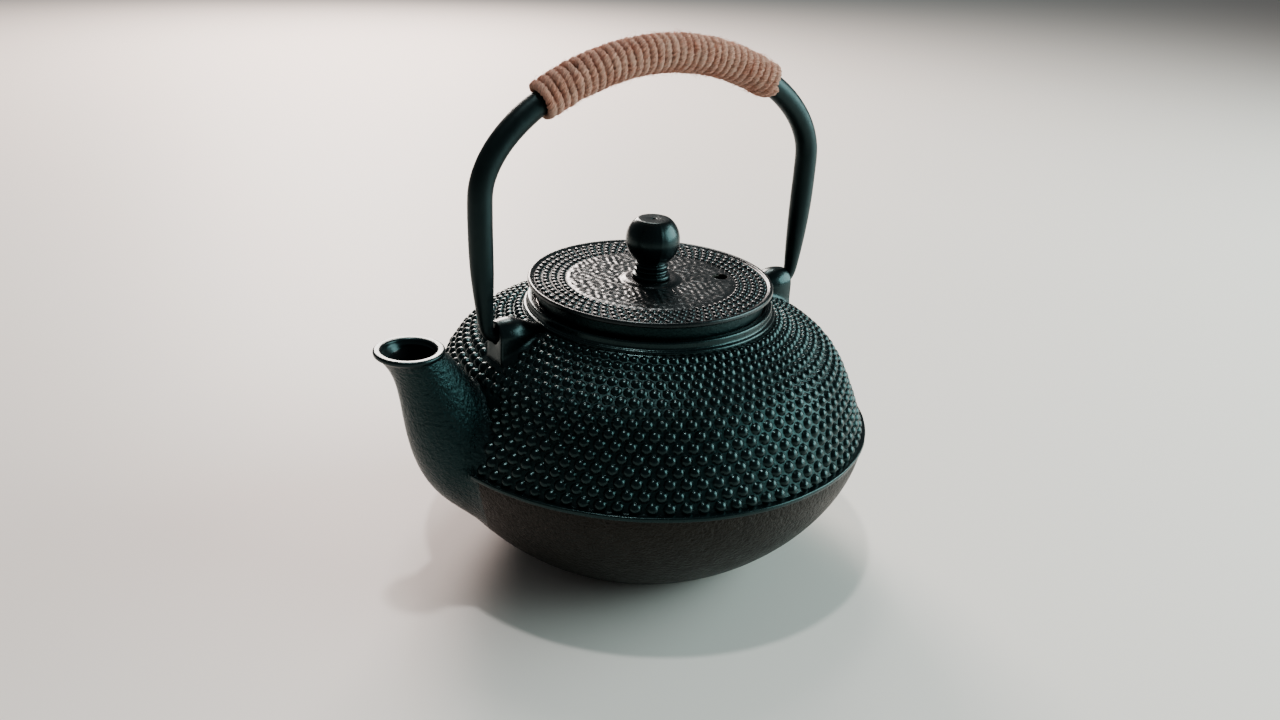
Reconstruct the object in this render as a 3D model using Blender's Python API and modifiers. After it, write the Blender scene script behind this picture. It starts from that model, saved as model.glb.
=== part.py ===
"""Cast iron teapot: one casting, a lid with a ball knob, a bail handle and a basket.

Metres, +Z up.  The origin is the centre of the flat base, the spout points to -X,
and the handle's arch stands in the XZ plane.
"""
import math

import bmesh
import bpy
import numpy as np
from mathutils import Vector

# ---------------------------------------------------------------- driving sizes
FIT_GAP = 0.0003            # between pieces that rest on each other
SLIDE_GAP = 0.0005          # round a piece that is lifted out

# casting
WAIST_RADIUS = 0.0743       # bowl at the seam
WAIST_HEIGHT = 0.0463
SEAM_LIP = 0.0007           # thin lip beyond the bowl
SEAM_BAND = 0.0018          # its height
BASE_RADIUS = 0.0370
BOWL_EXPONENT = 1.7         # superellipse of the bowl
WALL = 0.0032
FLOOR = 0.0040
SHOULDER_STEP = 0.0014      # wall under the studs, inside the waist
SHOULDER_RISE = 0.0367      # seam to the collar's foot
SHOULDER_LEAN = (0.296, 0.690)  # curve controls, as shares of its run and rise
SHOULDER_ROLL = (0.336, 0.755)
COLLAR_RADIUS = 0.0400
COLLAR_RISE = 0.0040        # collar above the shoulder
COLLAR_BEAD = 0.0012        # bead at the collar's foot
COLLAR_WALL = 0.0022
SEAT_DEPTH = 0.0020         # ledge below the collar's top
SEAT_WIDTH = 0.0043
EDGE = 0.0005               # small cast or turned edge

# spout, its places measured from the waist and the collar's top
SPOUT_REACH = 0.0108        # mouth's centre beyond the waist
SPOUT_MOUTH_DROP = 0.0025   # mouth below the collar's top
SPOUT_ROOT_INSET = 0.0203   # root's centre inside the waist
SPOUT_ROOT_DROP = 0.0077    # and below it
SPOUT_HEEL_INSET = 0.0015   # path control where the spout leaves the bowl
SPOUT_HEEL_RISE = 0.0046
SPOUT_THROAT_REACH = 0.0008  # path control below the mouth
SPOUT_THROAT_DROP = 0.0070
SPOUT_LIP_HEIGHT = 0.0018
SPOUT_LIP_RADIUS = 0.0105
SPOUT_MOUTH_BORE = 0.0081
SPOUT_ROOT_RADIUS = 0.0155
SPOUT_BELLY_RADIUS = 0.0205     # control value of the swelling above the root
SPOUT_NECK_RADIUS = 0.0072      # control value of the narrowing below the lip
SPOUT_END_RADIUS = 0.0094
SPOUT_BORE_ROOT = 0.0090
SPOUT_BORE_MIDDLE = 0.0098
SPOUT_BORE_NECK = 0.0050
SPOUT_BORE_FLARE = 0.0008   # rounding of the opening's edge
SPOUT_BORE_START = 0.0040   # bore begins this far along from the root
SPOUT_LEVEL_FROM = 0.35     # share of the path where the rings begin to level
SPOUT_LEVEL_POWER = 1.5

# barrel lugs that hold the handle
LUG_LENGTH = 0.0160         # outer face beyond the collar's bead
LUG_RADIUS = 0.00545        # at the widest
LUG_BULGE_BACK = 0.0046     # widest place behind the outer face
LUG_BARREL = 0.0090         # half length of the barrel's ellipse
LUG_TAIL_RADIUS = 0.0015    # where it runs into the shoulder
HOOK_DEPTH = 0.0070         # hook inside its lug
SOCKET_END = 0.0008         # socket beyond the hook's tip

# handle
BAR_RADIUS = 0.0037
HOOK_RADIUS = 0.0020
LEG_GAP = 0.0008            # leg to lug face
BEND_RADIUS = 0.0036
ARCH_SPREAD = 0.0020        # arch's side beyond the leg's foot
ARCH_SPRING_RISE = 0.0445   # lugs to the arch's springing
ARCH_RISE = 0.0378
ARCH_EXPONENT = 1.85
TAPER_HEIGHT = 0.0300
GRIP_RADIUS = 0.00595       # outside of the twine
GRIP_HALF_SPAN = 0.0435

# lid
LID_STAND = 0.0046          # lid's edge above the collar
LID_EDGE = 0.0014
LID_PLATE = 0.0034
LID_LIP_WIDTH = 0.0023
LID_LIP_DEPTH = 0.0006
LID_BOSS_RADIUS = 0.0095
LID_BOSS_RISE = 0.0010
LID_SKIRT_DEPTH = 0.0090
LID_SKIRT_WALL = 0.0024
VENT_RADIUS = 0.0023
VENT_DISTANCE = 0.0237
VENT_ANGLE = math.radians(-20.7)

# knob and its screw
BALL_RADIUS = 0.00875
BALL_RISE = 0.0125          # ball's centre above the boss
FACET_RADIUS = 0.0053
NECK_RADIUS = 0.0046
RING_RADIUS = 0.0055
FOOT_RADIUS = 0.0062
KNOB_PIN_HOLE = 0.0007
KNOB_PIN_DEPTH = 0.0040
SCREW_RADIUS = 0.0020
SCREW_HEAD_RADIUS = 0.0038
SCREW_HEAD_RISE = 0.0024
SCREW_REACH = 0.0085        # thread inside the knob
SLOT_WIDTH = 0.0010
SLOT_DEPTH = 0.0011
WASHER_RADIUS = 0.0050
WASHER_THICKNESS = 0.0008

# basket
RIM_THICKNESS = 0.0008
RIM_DROP = 0.0040
SHEET = 0.0005              # pressed rings
SCREEN = 0.0004             # etched sheet
BASKET_DEPTH = 0.0400
BASKET_FLANGE = 0.0050

TURN_STEPS = 56
FINE_STEPS = 28
CUT_OVERRUN = 0.0030        # cutters past the faces they open

# ---------------------------------------------------------------- worked out
seam_radius = WAIST_RADIUS + SEAM_LIP
shoulder_foot_radius = WAIST_RADIUS - SHOULDER_STEP
shoulder_top_height = WAIST_HEIGHT + SHOULDER_RISE
shoulder_top_radius = COLLAR_RADIUS + COLLAR_BEAD
collar_top = shoulder_top_height + COLLAR_RISE
seat_radius = COLLAR_RADIUS - COLLAR_WALL
seat_height = collar_top - SEAT_DEPTH
throat_radius = seat_radius - SEAT_WIDTH
spout_x = -(WAIST_RADIUS + SPOUT_REACH)
spout_top = collar_top - SPOUT_MOUTH_DROP
lug_height = shoulder_top_height
lug_face = shoulder_top_radius + LUG_LENGTH
leg_foot_x = lug_face + LEG_GAP + HOOK_RADIUS
arch_half_width = leg_foot_x + ARCH_SPREAD
arch_spring_height = lug_height + ARCH_SPRING_RISE
lid_radius = COLLAR_RADIUS
lid_height = collar_top + LID_STAND + LID_EDGE
rim_radius = seat_radius - SLIDE_GAP
rim_bottom = seat_height + FIT_GAP
rim_top = rim_bottom + RIM_THICKNESS
basket_radius = throat_radius - SLIDE_GAP
screen_radius = basket_radius - SHEET - FIT_GAP
basket_bottom = rim_bottom - BASKET_DEPTH
step_bottom = rim_top + FIT_GAP
plate_bottom = lid_height - LID_LIP_DEPTH - LID_PLATE
skirt_radius = screen_radius - SCREEN - SLIDE_GAP
boss_top = lid_height - LID_LIP_DEPTH + LID_BOSS_RISE
knob_bottom = boss_top + FIT_GAP
ball_height = knob_bottom + BALL_RISE
washer_top = plate_bottom - FIT_GAP
screw_seat = washer_top - WASHER_THICKNESS - FIT_GAP


# ---------------------------------------------------------------- scene helpers
def clear_scene():
    """Remove every object and the empty collections left behind."""
    for thing in list(bpy.data.objects):
        bpy.data.objects.remove(thing, do_unlink=True)
    for group in list(bpy.data.collections):
        bpy.data.collections.remove(group)


def new_collection(name):
    group = bpy.data.collections.new(name)
    bpy.context.scene.collection.children.link(group)
    return group


def material(name, colour, roughness, metallic):
    finish = bpy.data.materials.new(name)
    finish.use_nodes = True
    shader = finish.node_tree.nodes["Principled BSDF"]
    shader.inputs["Base Color"].default_value = (*colour, 1.0)
    shader.inputs["Roughness"].default_value = roughness
    shader.inputs["Metallic"].default_value = metallic
    return finish


def add_object(name, mesh, group, finish=None):
    piece = bpy.data.objects.new(name, mesh)
    group.objects.link(piece)
    if finish:
        mesh.materials.append(finish)
    return piece


def as_cutter(piece):
    piece.hide_render = True
    piece.display_type = "WIRE"
    return piece


def boolean(piece, tool, operation):
    step = piece.modifiers.new(tool.name, "BOOLEAN")
    step.operation = operation
    step.solver = "EXACT"
    step.object = tool


# ---------------------------------------------------------------- shapes
def turned(name, outline, group, finish=None, steps=TURN_STEPS, closed=False):
    """Turn an outline of (radius, height) round Z with a Screw modifier."""
    count = len(outline)
    edges = [(i, i + 1) for i in range(count - 1)]
    if closed:
        edges.append((count - 1, 0))
    mesh = bpy.data.meshes.new(name)
    mesh.from_pydata([(r, 0.0, z) for r, z in outline], edges, [])
    piece = add_object(name, mesh, group, finish)
    screw = piece.modifiers.new("turn", "SCREW")
    screw.angle = 2.0 * math.pi
    screw.steps = steps
    screw.render_steps = steps
    screw.use_merge_vertices = True
    screw.merge_threshold = 0.00001
    screw.use_smooth_shade = True
    return piece


def cylinder(name, radius, start, end, group, steps=24):
    """A closed cylinder between two points."""
    start, end = Vector(start), Vector(end)
    shape = bmesh.new()
    bmesh.ops.create_cone(shape, cap_ends=True, segments=steps, radius1=radius,
                          radius2=radius, depth=(end - start).length)
    mesh = bpy.data.meshes.new(name)
    shape.to_mesh(mesh)
    shape.free()
    piece = add_object(name, mesh, group)
    piece.location = (start + end) / 2.0
    piece.rotation_mode = "QUATERNION"
    piece.rotation_quaternion = Vector((0, 0, 1)).rotation_difference(end - start)
    return piece


def loft(name, rings, group):
    """A closed solid through rings of equal point count, capped at both ends."""
    rings = np.asarray(rings)
    count, around = rings.shape[:2]
    faces = [tuple(reversed(range(around)))]
    for i in range(count - 1):
        for j in range(around):
            k = (j + 1) % around
            faces.append((i * around + j, i * around + k,
                          (i + 1) * around + k, (i + 1) * around + j))
    faces.append(tuple(range((count - 1) * around, count * around)))
    mesh = bpy.data.meshes.new(name)
    mesh.from_pydata(rings.reshape(-1, 3).tolist(), [], faces)
    return add_object(name, mesh, group)


def tube(name, points, radii, group, finish, sides, capped):
    """A tube along points, made as a bevelled curve and turned into a mesh."""
    curve = bpy.data.curves.new(name + "_path", "CURVE")
    curve.dimensions = "3D"
    curve.bevel_depth = 1.0
    curve.bevel_resolution = sides // 2 - 2
    curve.use_fill_caps = capped
    spline = curve.splines.new("POLY")
    spline.points.add(len(points) - 1)
    for point, place, radius in zip(spline.points, points, radii):
        point.co = (*place, 1.0)
        point.radius = radius
    guide = add_object(name + "_path", curve, group)
    bpy.context.view_layer.update()
    depsgraph = bpy.context.evaluated_depsgraph_get()
    mesh = bpy.data.meshes.new_from_object(guide.evaluated_get(depsgraph))
    shape = bmesh.new()
    shape.from_mesh(mesh)
    bmesh.ops.remove_doubles(shape, verts=shape.verts, dist=0.000001)
    shape.to_mesh(mesh)
    shape.free()
    piece = add_object(name, mesh, group, finish)
    piece.matrix_world = guide.matrix_world
    bpy.data.objects.remove(guide, do_unlink=True)
    return piece


def shade_round(piece):
    piece.data.shade_smooth()
    piece.data.set_sharp_from_angle(angle=math.radians(40.0))


def bezier(controls, t):
    """A cubic curve through four controls, at the values t."""
    p = np.asarray(controls, dtype=float)
    t = np.asarray(t, dtype=float)
    if p.ndim > 1:
        t = t[:, None]
    return ((1 - t) ** 3 * p[0] + 3 * (1 - t) ** 2 * t * p[1]
            + 3 * (1 - t) * t ** 2 * p[2] + t ** 3 * p[3])


def offset_inward(outline, distance):
    """Move an outline that runs upwards towards the axis, by a wall's thickness."""
    points = np.asarray(outline)
    along = np.gradient(points, axis=0)
    along /= np.linalg.norm(along, axis=1)[:, None]
    return points + distance * np.column_stack((-along[:, 1], along[:, 0]))


# ---------------------------------------------------------------- pot casting
def bowl_curve(radius, foot_radius, top, count):
    """Superellipse from the foot, where z is 0, up to the waist."""
    depth = top / (1 - (foot_radius / radius) ** BOWL_EXPONENT) ** (1 / BOWL_EXPONENT)
    z = top * (1 - np.cos(np.linspace(0, np.pi / 2, count)))
    drop = (top - z) / depth
    r = radius * (1 - drop ** BOWL_EXPONENT) ** (1 / BOWL_EXPONENT)
    return np.column_stack((r, z))


def shoulder_curve(start, end, count):
    """Cubic from the seam to the collar: a leaning wall that rolls over at the top."""
    run, rise = end[0] - start[0], end[1] - start[1]
    controls = (start,
                (start[0] + SHOULDER_LEAN[0] * run, start[1] + SHOULDER_LEAN[1] * rise),
                (start[0] + SHOULDER_ROLL[0] * run, start[1] + SHOULDER_ROLL[1] * rise),
                end)
    return bezier(controls, np.linspace(0, 1, count))


def casting_curves():
    """Outer bowl and shoulder, from the foot up."""
    bowl = bowl_curve(WAIST_RADIUS, BASE_RADIUS, WAIST_HEIGHT - SEAM_BAND / 2, 9)
    shoulder = shoulder_curve((shoulder_foot_radius, WAIST_HEIGHT + SEAM_BAND / 2),
                              (shoulder_top_radius, shoulder_top_height), 11)
    return bowl, shoulder


def collar_outline():
    """Collar from its top inner edge down to the bead at its foot."""
    bead = shoulder_top_radius
    foot = shoulder_top_height
    return [(seat_radius, collar_top), (COLLAR_RADIUS - EDGE, collar_top),
            (COLLAR_RADIUS, collar_top - EDGE), (COLLAR_RADIUS, foot + 3 * EDGE),
            (bead - EDGE / 2, foot + 2 * EDGE), (bead, foot + EDGE)]


def solid_body(group, finish):
    """The casting's outside as a solid, without its hollow."""
    bowl, shoulder = casting_curves()
    outline = [(0.0, seat_height), (seat_radius, seat_height)]
    outline += collar_outline()
    outline += [tuple(p) for p in shoulder[::-1]]
    outline += [(seam_radius, WAIST_HEIGHT + SEAM_BAND / 3),
                (seam_radius, WAIST_HEIGHT - SEAM_BAND / 3)]
    outline += [tuple(p) for p in bowl[::-1]]
    outline += [(0.0, 0.0)]
    return turned("pot_body", outline, group, finish)


def hollow(group):
    """The space inside the casting, up through the throat."""
    bowl, shoulder = casting_curves()
    inner_bowl = offset_inward(bowl, WALL)
    inner_bowl = inner_bowl[inner_bowl[:, 1] > FLOOR + 2 * EDGE]
    inner_shoulder = offset_inward(shoulder, WALL)
    inner_shoulder = inner_shoulder[inner_shoulder[:, 1] > inner_bowl[-1][1] + 2 * EDGE]
    above = collar_top + CUT_OVERRUN
    rising = [(0.0, FLOOR), (inner_bowl[0][0] - FLOOR, FLOOR)]
    rising += [tuple(p) for p in inner_bowl] + [tuple(p) for p in inner_shoulder]
    rising += [(throat_radius, inner_shoulder[-1][1] + EDGE), (throat_radius, above), (0.0, above)]
    return as_cutter(turned("hollow", rising[::-1], group))


def spout_rings(radius_controls, start_shift, around=24, count=11):
    """Rings along the spout, square to its path at the root and level at the mouth."""
    root_height = WAIST_HEIGHT - SPOUT_ROOT_DROP
    neck_height = spout_top - SPOUT_LIP_HEIGHT
    path = ((-(WAIST_RADIUS - SPOUT_ROOT_INSET) + start_shift, root_height),
            (-(WAIST_RADIUS - SPOUT_HEEL_INSET), root_height + SPOUT_HEEL_RISE),
            (-(WAIST_RADIUS + SPOUT_THROAT_REACH), neck_height - SPOUT_THROAT_DROP),
            (spout_x, neck_height))
    t = np.linspace(0, 1, count)
    centres = bezier(path, t)
    radii = bezier(radius_controls, t)
    along = np.gradient(centres, axis=0)
    lean = np.arctan2(along[:, 1], -along[:, 0])
    level = np.clip((t - SPOUT_LEVEL_FROM) / (1 - SPOUT_LEVEL_FROM), 0, 1) ** SPOUT_LEVEL_POWER
    lean = lean * (1 - level) + math.pi / 2 * level
    turn = np.linspace(2 * np.pi, 0, around, endpoint=False)
    side = np.sin(turn)[None, :] * radii[:, None]
    front = np.cos(turn)[None, :] * radii[:, None]
    x = centres[:, :1] - front * np.sin(lean)[:, None]
    z = centres[:, 1:] - front * np.cos(lean)[:, None]
    return np.stack((x, side, z), axis=2)


def level_ring(radius, height, around=24):
    turn = np.linspace(2 * np.pi, 0, around, endpoint=False)
    return np.column_stack((spout_x - radius * np.cos(turn), radius * np.sin(turn),
                            np.full(around, height)))


def spout_outside(group):
    rings = list(spout_rings((SPOUT_ROOT_RADIUS, SPOUT_BELLY_RADIUS, SPOUT_NECK_RADIUS,
                              SPOUT_END_RADIUS), 0.0))
    rings.append(level_ring(SPOUT_LIP_RADIUS - EDGE / 2, spout_top - 2 * EDGE))
    rings.append(level_ring(SPOUT_LIP_RADIUS, spout_top - EDGE))
    rings.append(level_ring(SPOUT_LIP_RADIUS - EDGE, spout_top))
    return as_cutter(loft("spout_outside", rings, group))


def spout_bore(group):
    flare = SPOUT_MOUTH_BORE + SPOUT_BORE_FLARE
    rings = list(spout_rings((SPOUT_BORE_ROOT, SPOUT_BORE_MIDDLE, SPOUT_BORE_NECK,
                              SPOUT_MOUTH_BORE - EDGE), SPOUT_BORE_START))
    rings.append(level_ring(SPOUT_MOUTH_BORE, spout_top - EDGE))
    rings.append(level_ring(flare, spout_top + EDGE))
    rings.append(level_ring(flare, spout_top + CUT_OVERRUN))
    return as_cutter(loft("spout_bore", rings, group))


def lug_outline():
    """Half widths along X: a barrel with a flat outer face and a tail that narrows to the collar."""
    widest = lug_face - LUG_BULGE_BACK
    face_radius = LUG_RADIUS * math.sqrt(1 - (LUG_BULGE_BACK / LUG_BARREL) ** 2)
    outer = np.linspace(lug_face - EDGE, widest, 4)[1:]
    barrel = LUG_RADIUS * np.sqrt(1 - ((outer - widest) / LUG_BARREL) ** 2)
    share = np.linspace(0, 1, 9)[1:]
    tail_end = COLLAR_RADIUS + FIT_GAP
    tail_x = widest + (tail_end - widest) * share
    tail = LUG_TAIL_RADIUS + (LUG_RADIUS - LUG_TAIL_RADIUS) * (0.5 + 0.5 * np.cos(share * np.pi))
    outline = [(face_radius - EDGE, lug_face), (face_radius, lug_face - EDGE)]
    return outline + list(zip(barrel.tolist(), outer.tolist())) + list(zip(tail.tolist(), tail_x.tolist()))


def lug(name, sign, group):
    """Sections along X, round above, with upright sides that run down into the shoulder."""
    shoulder = casting_curves()[1]
    reach = math.hypot(lug_face, LUG_RADIUS)
    foot = np.interp(-reach, -shoulder[:, 0], shoulder[:, 1]) - WALL / 2
    turn = np.linspace(0, np.pi, FINE_STEPS // 2 + 1)
    rings = []
    for radius, x in lug_outline()[::-sign]:
        y = np.concatenate(([radius], radius * np.cos(turn), [-radius]))
        z = np.concatenate(([foot], lug_height + radius * np.sin(turn), [foot]))
        rings.append(np.column_stack((np.full(len(y), sign * x), y, z)))
    return as_cutter(loft(name, rings, group))


def pot_body(parts, cutters, finish):
    body = solid_body(parts, finish)
    boolean(body, spout_outside(cutters), "UNION")
    for side, sign in (("front", -1), ("back", 1)):
        boolean(body, lug("lug_" + side, sign, cutters), "UNION")
    boolean(body, hollow(cutters), "DIFFERENCE")
    boolean(body, spout_bore(cutters), "DIFFERENCE")
    deep = lug_face - HOOK_DEPTH - SOCKET_END
    for side, sign in (("front", -1), ("back", 1)):
        socket = as_cutter(cylinder("socket_" + side, HOOK_RADIUS + FIT_GAP,
                                    (sign * deep, 0, lug_height),
                                    (sign * (lug_face + CUT_OVERRUN), 0, lug_height), cutters, 20))
        boolean(body, socket, "DIFFERENCE")
    return body


# ---------------------------------------------------------------- handle
def handle_half():
    """The +X half of the bar's centre line, from its hook to the top of the arch."""
    bend_x = leg_foot_x - BEND_RADIUS
    hook = [(lug_face - HOOK_DEPTH, lug_height), (lug_face - HOOK_DEPTH / 2, lug_height)]
    turn = np.linspace(-np.pi / 2, 0, 6)
    bend = np.column_stack((bend_x + BEND_RADIUS * np.cos(turn),
                            lug_height + BEND_RADIUS + BEND_RADIUS * np.sin(turn)))
    rise = np.linspace(0, 1, 9)[1:-1]
    foot = lug_height + BEND_RADIUS
    leg = np.column_stack((leg_foot_x + (arch_half_width - leg_foot_x) * np.sin(rise * np.pi / 2),
                           foot + (arch_spring_height - foot) * rise))
    power = 2.0 / ARCH_EXPONENT
    angle = np.linspace(0, np.pi / 2, 400)
    arch = np.column_stack((arch_half_width * np.cos(angle) ** power,
                            arch_spring_height + ARCH_RISE * np.sin(angle) ** power))
    arch = even_steps(arch, 17)
    return np.vstack((hook, bend, leg, arch))


def even_steps(points, count):
    """The same line with evenly spaced points."""
    length = np.concatenate(([0.0], np.cumsum(np.linalg.norm(np.diff(points, axis=0), axis=1))))
    places = np.linspace(0.0, length[-1], count)
    return np.column_stack([np.interp(places, length, points[:, i]) for i in range(2)])


def handle_line():
    """The whole centre line as (x, z), from the spout's side to the other."""
    half = handle_half()
    mirrored = half * (-1.0, 1.0)
    return np.vstack((mirrored[:-1], half[::-1]))


def bar_radius(line):
    """Thin hooks that swell to the full bar over the taper."""
    grown = np.clip((line[:, 1] - lug_height - BEND_RADIUS / 2) / TAPER_HEIGHT, 0, 1)
    return HOOK_RADIUS + (BAR_RADIUS - HOOK_RADIUS) * np.sin(grown * np.pi / 2)


def upright(line):
    return [(x, 0.0, z) for x, z in line]


def set_origin(piece, place):
    """Move a piece's origin without moving its shape."""
    piece.data.transform(piece.matrix_world)
    for vertex in piece.data.vertices:
        vertex.co -= Vector(place)
    piece.matrix_world.identity()
    piece.location = place


def handle_bar(parts, finish):
    line = handle_line()
    bar = tube("handle_bar", upright(line), bar_radius(line), parts, finish, 12, True)
    shade_round(bar)
    set_origin(bar, (0.0, 0.0, lug_height))
    return bar


def twine_wrap(parts, finish):
    """A sleeve of the winding's outer shape round the arch."""
    line = handle_line()
    held = even_steps(line[(np.abs(line[:, 0]) < GRIP_HALF_SPAN)
                           & (line[:, 1] > arch_spring_height)], 22)
    wrap = tube("twine_wrap", upright(held), [GRIP_RADIUS] * len(held), parts, finish, 12, False)
    shade_round(wrap)
    wall = wrap.modifiers.new("wall", "SOLIDIFY")
    wall.thickness = GRIP_RADIUS - BAR_RADIUS - FIT_GAP
    wall.offset = -1.0
    set_origin(wrap, (0.0, 0.0, lug_height))
    return wrap


# ---------------------------------------------------------------- lid and knob
def lid(parts, cutters, finish):
    """Plate with a raised lip and boss, a step that seats on the rim, and a skirt."""
    field = lid_height - LID_LIP_DEPTH
    step_inner = skirt_radius - LID_SKIRT_WALL
    lip = lid_radius - LID_LIP_WIDTH
    under = lid_height - LID_EDGE
    skirt_foot = step_bottom - LID_SKIRT_DEPTH
    outline = [(0.0, boss_top), (LID_BOSS_RADIUS - EDGE, boss_top),
               (LID_BOSS_RADIUS, boss_top - EDGE), (LID_BOSS_RADIUS + EDGE, field),
               (lip - EDGE, field), (lip, lid_height - EDGE / 2),
               (lid_radius - LID_LIP_WIDTH / 2, lid_height),
               (lid_radius - EDGE, lid_height - EDGE / 2), (lid_radius, lid_height - 2 * EDGE),
               (lid_radius, under), (lid_radius - EDGE, under - EDGE),
               (rim_radius, under - EDGE), (rim_radius, step_bottom), (skirt_radius, step_bottom),
               (skirt_radius, skirt_foot + EDGE), (skirt_radius - EDGE, skirt_foot),
               (step_inner + EDGE, skirt_foot), (step_inner, skirt_foot + EDGE),
               (step_inner, plate_bottom), (0.0, plate_bottom)]
    piece = turned("lid", outline, parts, finish)
    bolt_hole = cylinder("bolt_hole", SCREW_RADIUS + FIT_GAP, (0, 0, plate_bottom - CUT_OVERRUN),
                         (0, 0, boss_top + CUT_OVERRUN), cutters, 24)
    boolean(piece, as_cutter(bolt_hole), "DIFFERENCE")
    x = VENT_DISTANCE * math.cos(VENT_ANGLE)
    y = VENT_DISTANCE * math.sin(VENT_ANGLE)
    vent = cylinder("vent_hole", VENT_RADIUS, (x, y, plate_bottom - CUT_OVERRUN),
                    (x, y, lid_height + CUT_OVERRUN), cutters, 20)
    boolean(piece, as_cutter(vent), "DIFFERENCE")
    return piece


def knob_outline():
    """Foot, neck rings and ball, from the top facet down, and back up the screw hole."""
    facet = math.acos(FACET_RADIUS / BALL_RADIUS)
    neck = -math.acos(NECK_RADIUS / BALL_RADIUS)
    arc = np.linspace(facet, neck, 12)
    ball = [(BALL_RADIUS * math.cos(a), ball_height + BALL_RADIUS * math.sin(a)) for a in arc]
    neck_bottom = ball[-1][1]
    ring = (neck_bottom - knob_bottom) / 5.0
    waist = (NECK_RADIUS + RING_RADIUS) / 2.0
    hole = SCREW_RADIUS + FIT_GAP
    top = ball[0][1]
    rings = [(RING_RADIUS, knob_bottom + 4.2 * ring), (RING_RADIUS, knob_bottom + 3.6 * ring),
             (waist, knob_bottom + 3.1 * ring), (RING_RADIUS, knob_bottom + 2.6 * ring),
             (RING_RADIUS, knob_bottom + 2.0 * ring), (waist, knob_bottom + 1.5 * ring),
             (FOOT_RADIUS, knob_bottom + 1.0 * ring), (FOOT_RADIUS, knob_bottom)]
    pin_end = top - KNOB_PIN_DEPTH
    bore_end = knob_bottom + SCREW_REACH
    pin = [(0.0, pin_end), (KNOB_PIN_HOLE, pin_end), (KNOB_PIN_HOLE, top)]
    bore = [(hole, knob_bottom), (hole, bore_end), (0.0, bore_end)]
    return pin + ball + rings + bore


def screw_outline():
    """Shank up into the knob, with a pan head below the washer."""
    tip = knob_bottom + SCREW_REACH - SOCKET_END
    head = screw_seat - SCREW_HEAD_RISE
    return [(0.0, tip), (SCREW_RADIUS - EDGE, tip), (SCREW_RADIUS, tip - EDGE),
            (SCREW_RADIUS, screw_seat), (SCREW_HEAD_RADIUS, screw_seat),
            (SCREW_HEAD_RADIUS, head + EDGE), (SCREW_HEAD_RADIUS - EDGE, head), (0.0, head)]


def screw_slot(cutters):
    """The driver slot across the screw's head."""
    shape = bmesh.new()
    bmesh.ops.create_cube(shape, size=1.0)
    size = (3 * SCREW_HEAD_RADIUS, SLOT_WIDTH, 2 * SLOT_DEPTH)
    bmesh.ops.scale(shape, vec=size, verts=shape.verts)
    mesh = bpy.data.meshes.new("screw_slot")
    shape.to_mesh(mesh)
    shape.free()
    slot = add_object("screw_slot", mesh, cutters)
    slot.location = (0, 0, screw_seat - SCREW_HEAD_RISE)
    return as_cutter(slot)


def knob_group(parts, cutters, iron, steel):
    knob = turned("lid_knob", knob_outline(), parts, iron, FINE_STEPS)
    screw = turned("knob_screw", screw_outline(), parts, steel, 24)
    boolean(screw, screw_slot(cutters), "DIFFERENCE")
    inner = SCREW_RADIUS + FIT_GAP
    bottom = washer_top - WASHER_THICKNESS
    washer = turned("knob_washer", [(inner, washer_top), (WASHER_RADIUS, washer_top),
                                    (WASHER_RADIUS, bottom), (inner, bottom)],
                    parts, steel, 28, closed=True)
    return knob, screw, washer


# ---------------------------------------------------------------- basket
def basket(parts, steel, screen):
    """Pressed rim and foot ring with a wall and a floor of etched sheet."""
    inner = basket_radius - SHEET
    rim = turned("infuser_rim", [(inner, rim_top), (rim_radius, rim_top), (rim_radius, rim_bottom),
                                 (basket_radius, rim_bottom), (basket_radius, rim_bottom - RIM_DROP),
                                 (inner, rim_bottom - RIM_DROP)], parts, steel, closed=True)
    screen_foot = basket_bottom + SHEET + FIT_GAP + SCREEN + FIT_GAP
    screen_top = rim_bottom
    wall = turned("infuser_wall", [(screen_radius - SCREEN, screen_top), (screen_radius, screen_top),
                                   (screen_radius, screen_foot),
                                   (screen_radius - SCREEN, screen_foot)],
                  parts, screen, closed=True)
    foot = turned("infuser_foot_ring", [(inner, basket_bottom + RIM_DROP),
                                        (basket_radius, basket_bottom + RIM_DROP),
                                        (basket_radius, basket_bottom),
                                        (basket_radius - BASKET_FLANGE, basket_bottom),
                                        (basket_radius - BASKET_FLANGE, basket_bottom + SHEET),
                                        (inner, basket_bottom + SHEET)], parts, steel, closed=True)
    floor_bottom = basket_bottom + SHEET + FIT_GAP
    floor_top = floor_bottom + SCREEN
    floor = turned("infuser_floor", [(0.0, floor_top), (screen_radius, floor_top),
                                     (screen_radius, floor_bottom), (0.0, floor_bottom)],
                   parts, screen)
    return rim, wall, foot, floor


# ---------------------------------------------------------------- build
def build():
    clear_scene()
    parts = new_collection("cast_iron_teapot")
    cutters = new_collection("cutters")
    iron = material("black_cast_iron", (0.022, 0.026, 0.029), 0.42, 0.75)
    bar_iron = material("black_handle_iron", (0.012, 0.013, 0.014), 0.28, 0.75)
    knob_iron = material("black_knob_iron", (0.015, 0.016, 0.018), 0.25, 0.75)
    twine = material("jute_twine", (0.62, 0.36, 0.24), 0.90, 0.0)
    steel = material("stainless_steel", (0.62, 0.61, 0.59), 0.32, 1.0)
    screen = material("stainless_screen", (0.55, 0.54, 0.52), 0.40, 1.0)
    pot_body(parts, cutters, iron)
    lid(parts, cutters, iron)
    knob_group(parts, cutters, knob_iron, steel)
    handle_bar(parts, bar_iron)
    twine_wrap(parts, twine)
    basket(parts, steel, screen)


build()
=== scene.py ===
import math
from types import SimpleNamespace

import bmesh
import bpy
import numpy as np
from mathutils import Matrix


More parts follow.
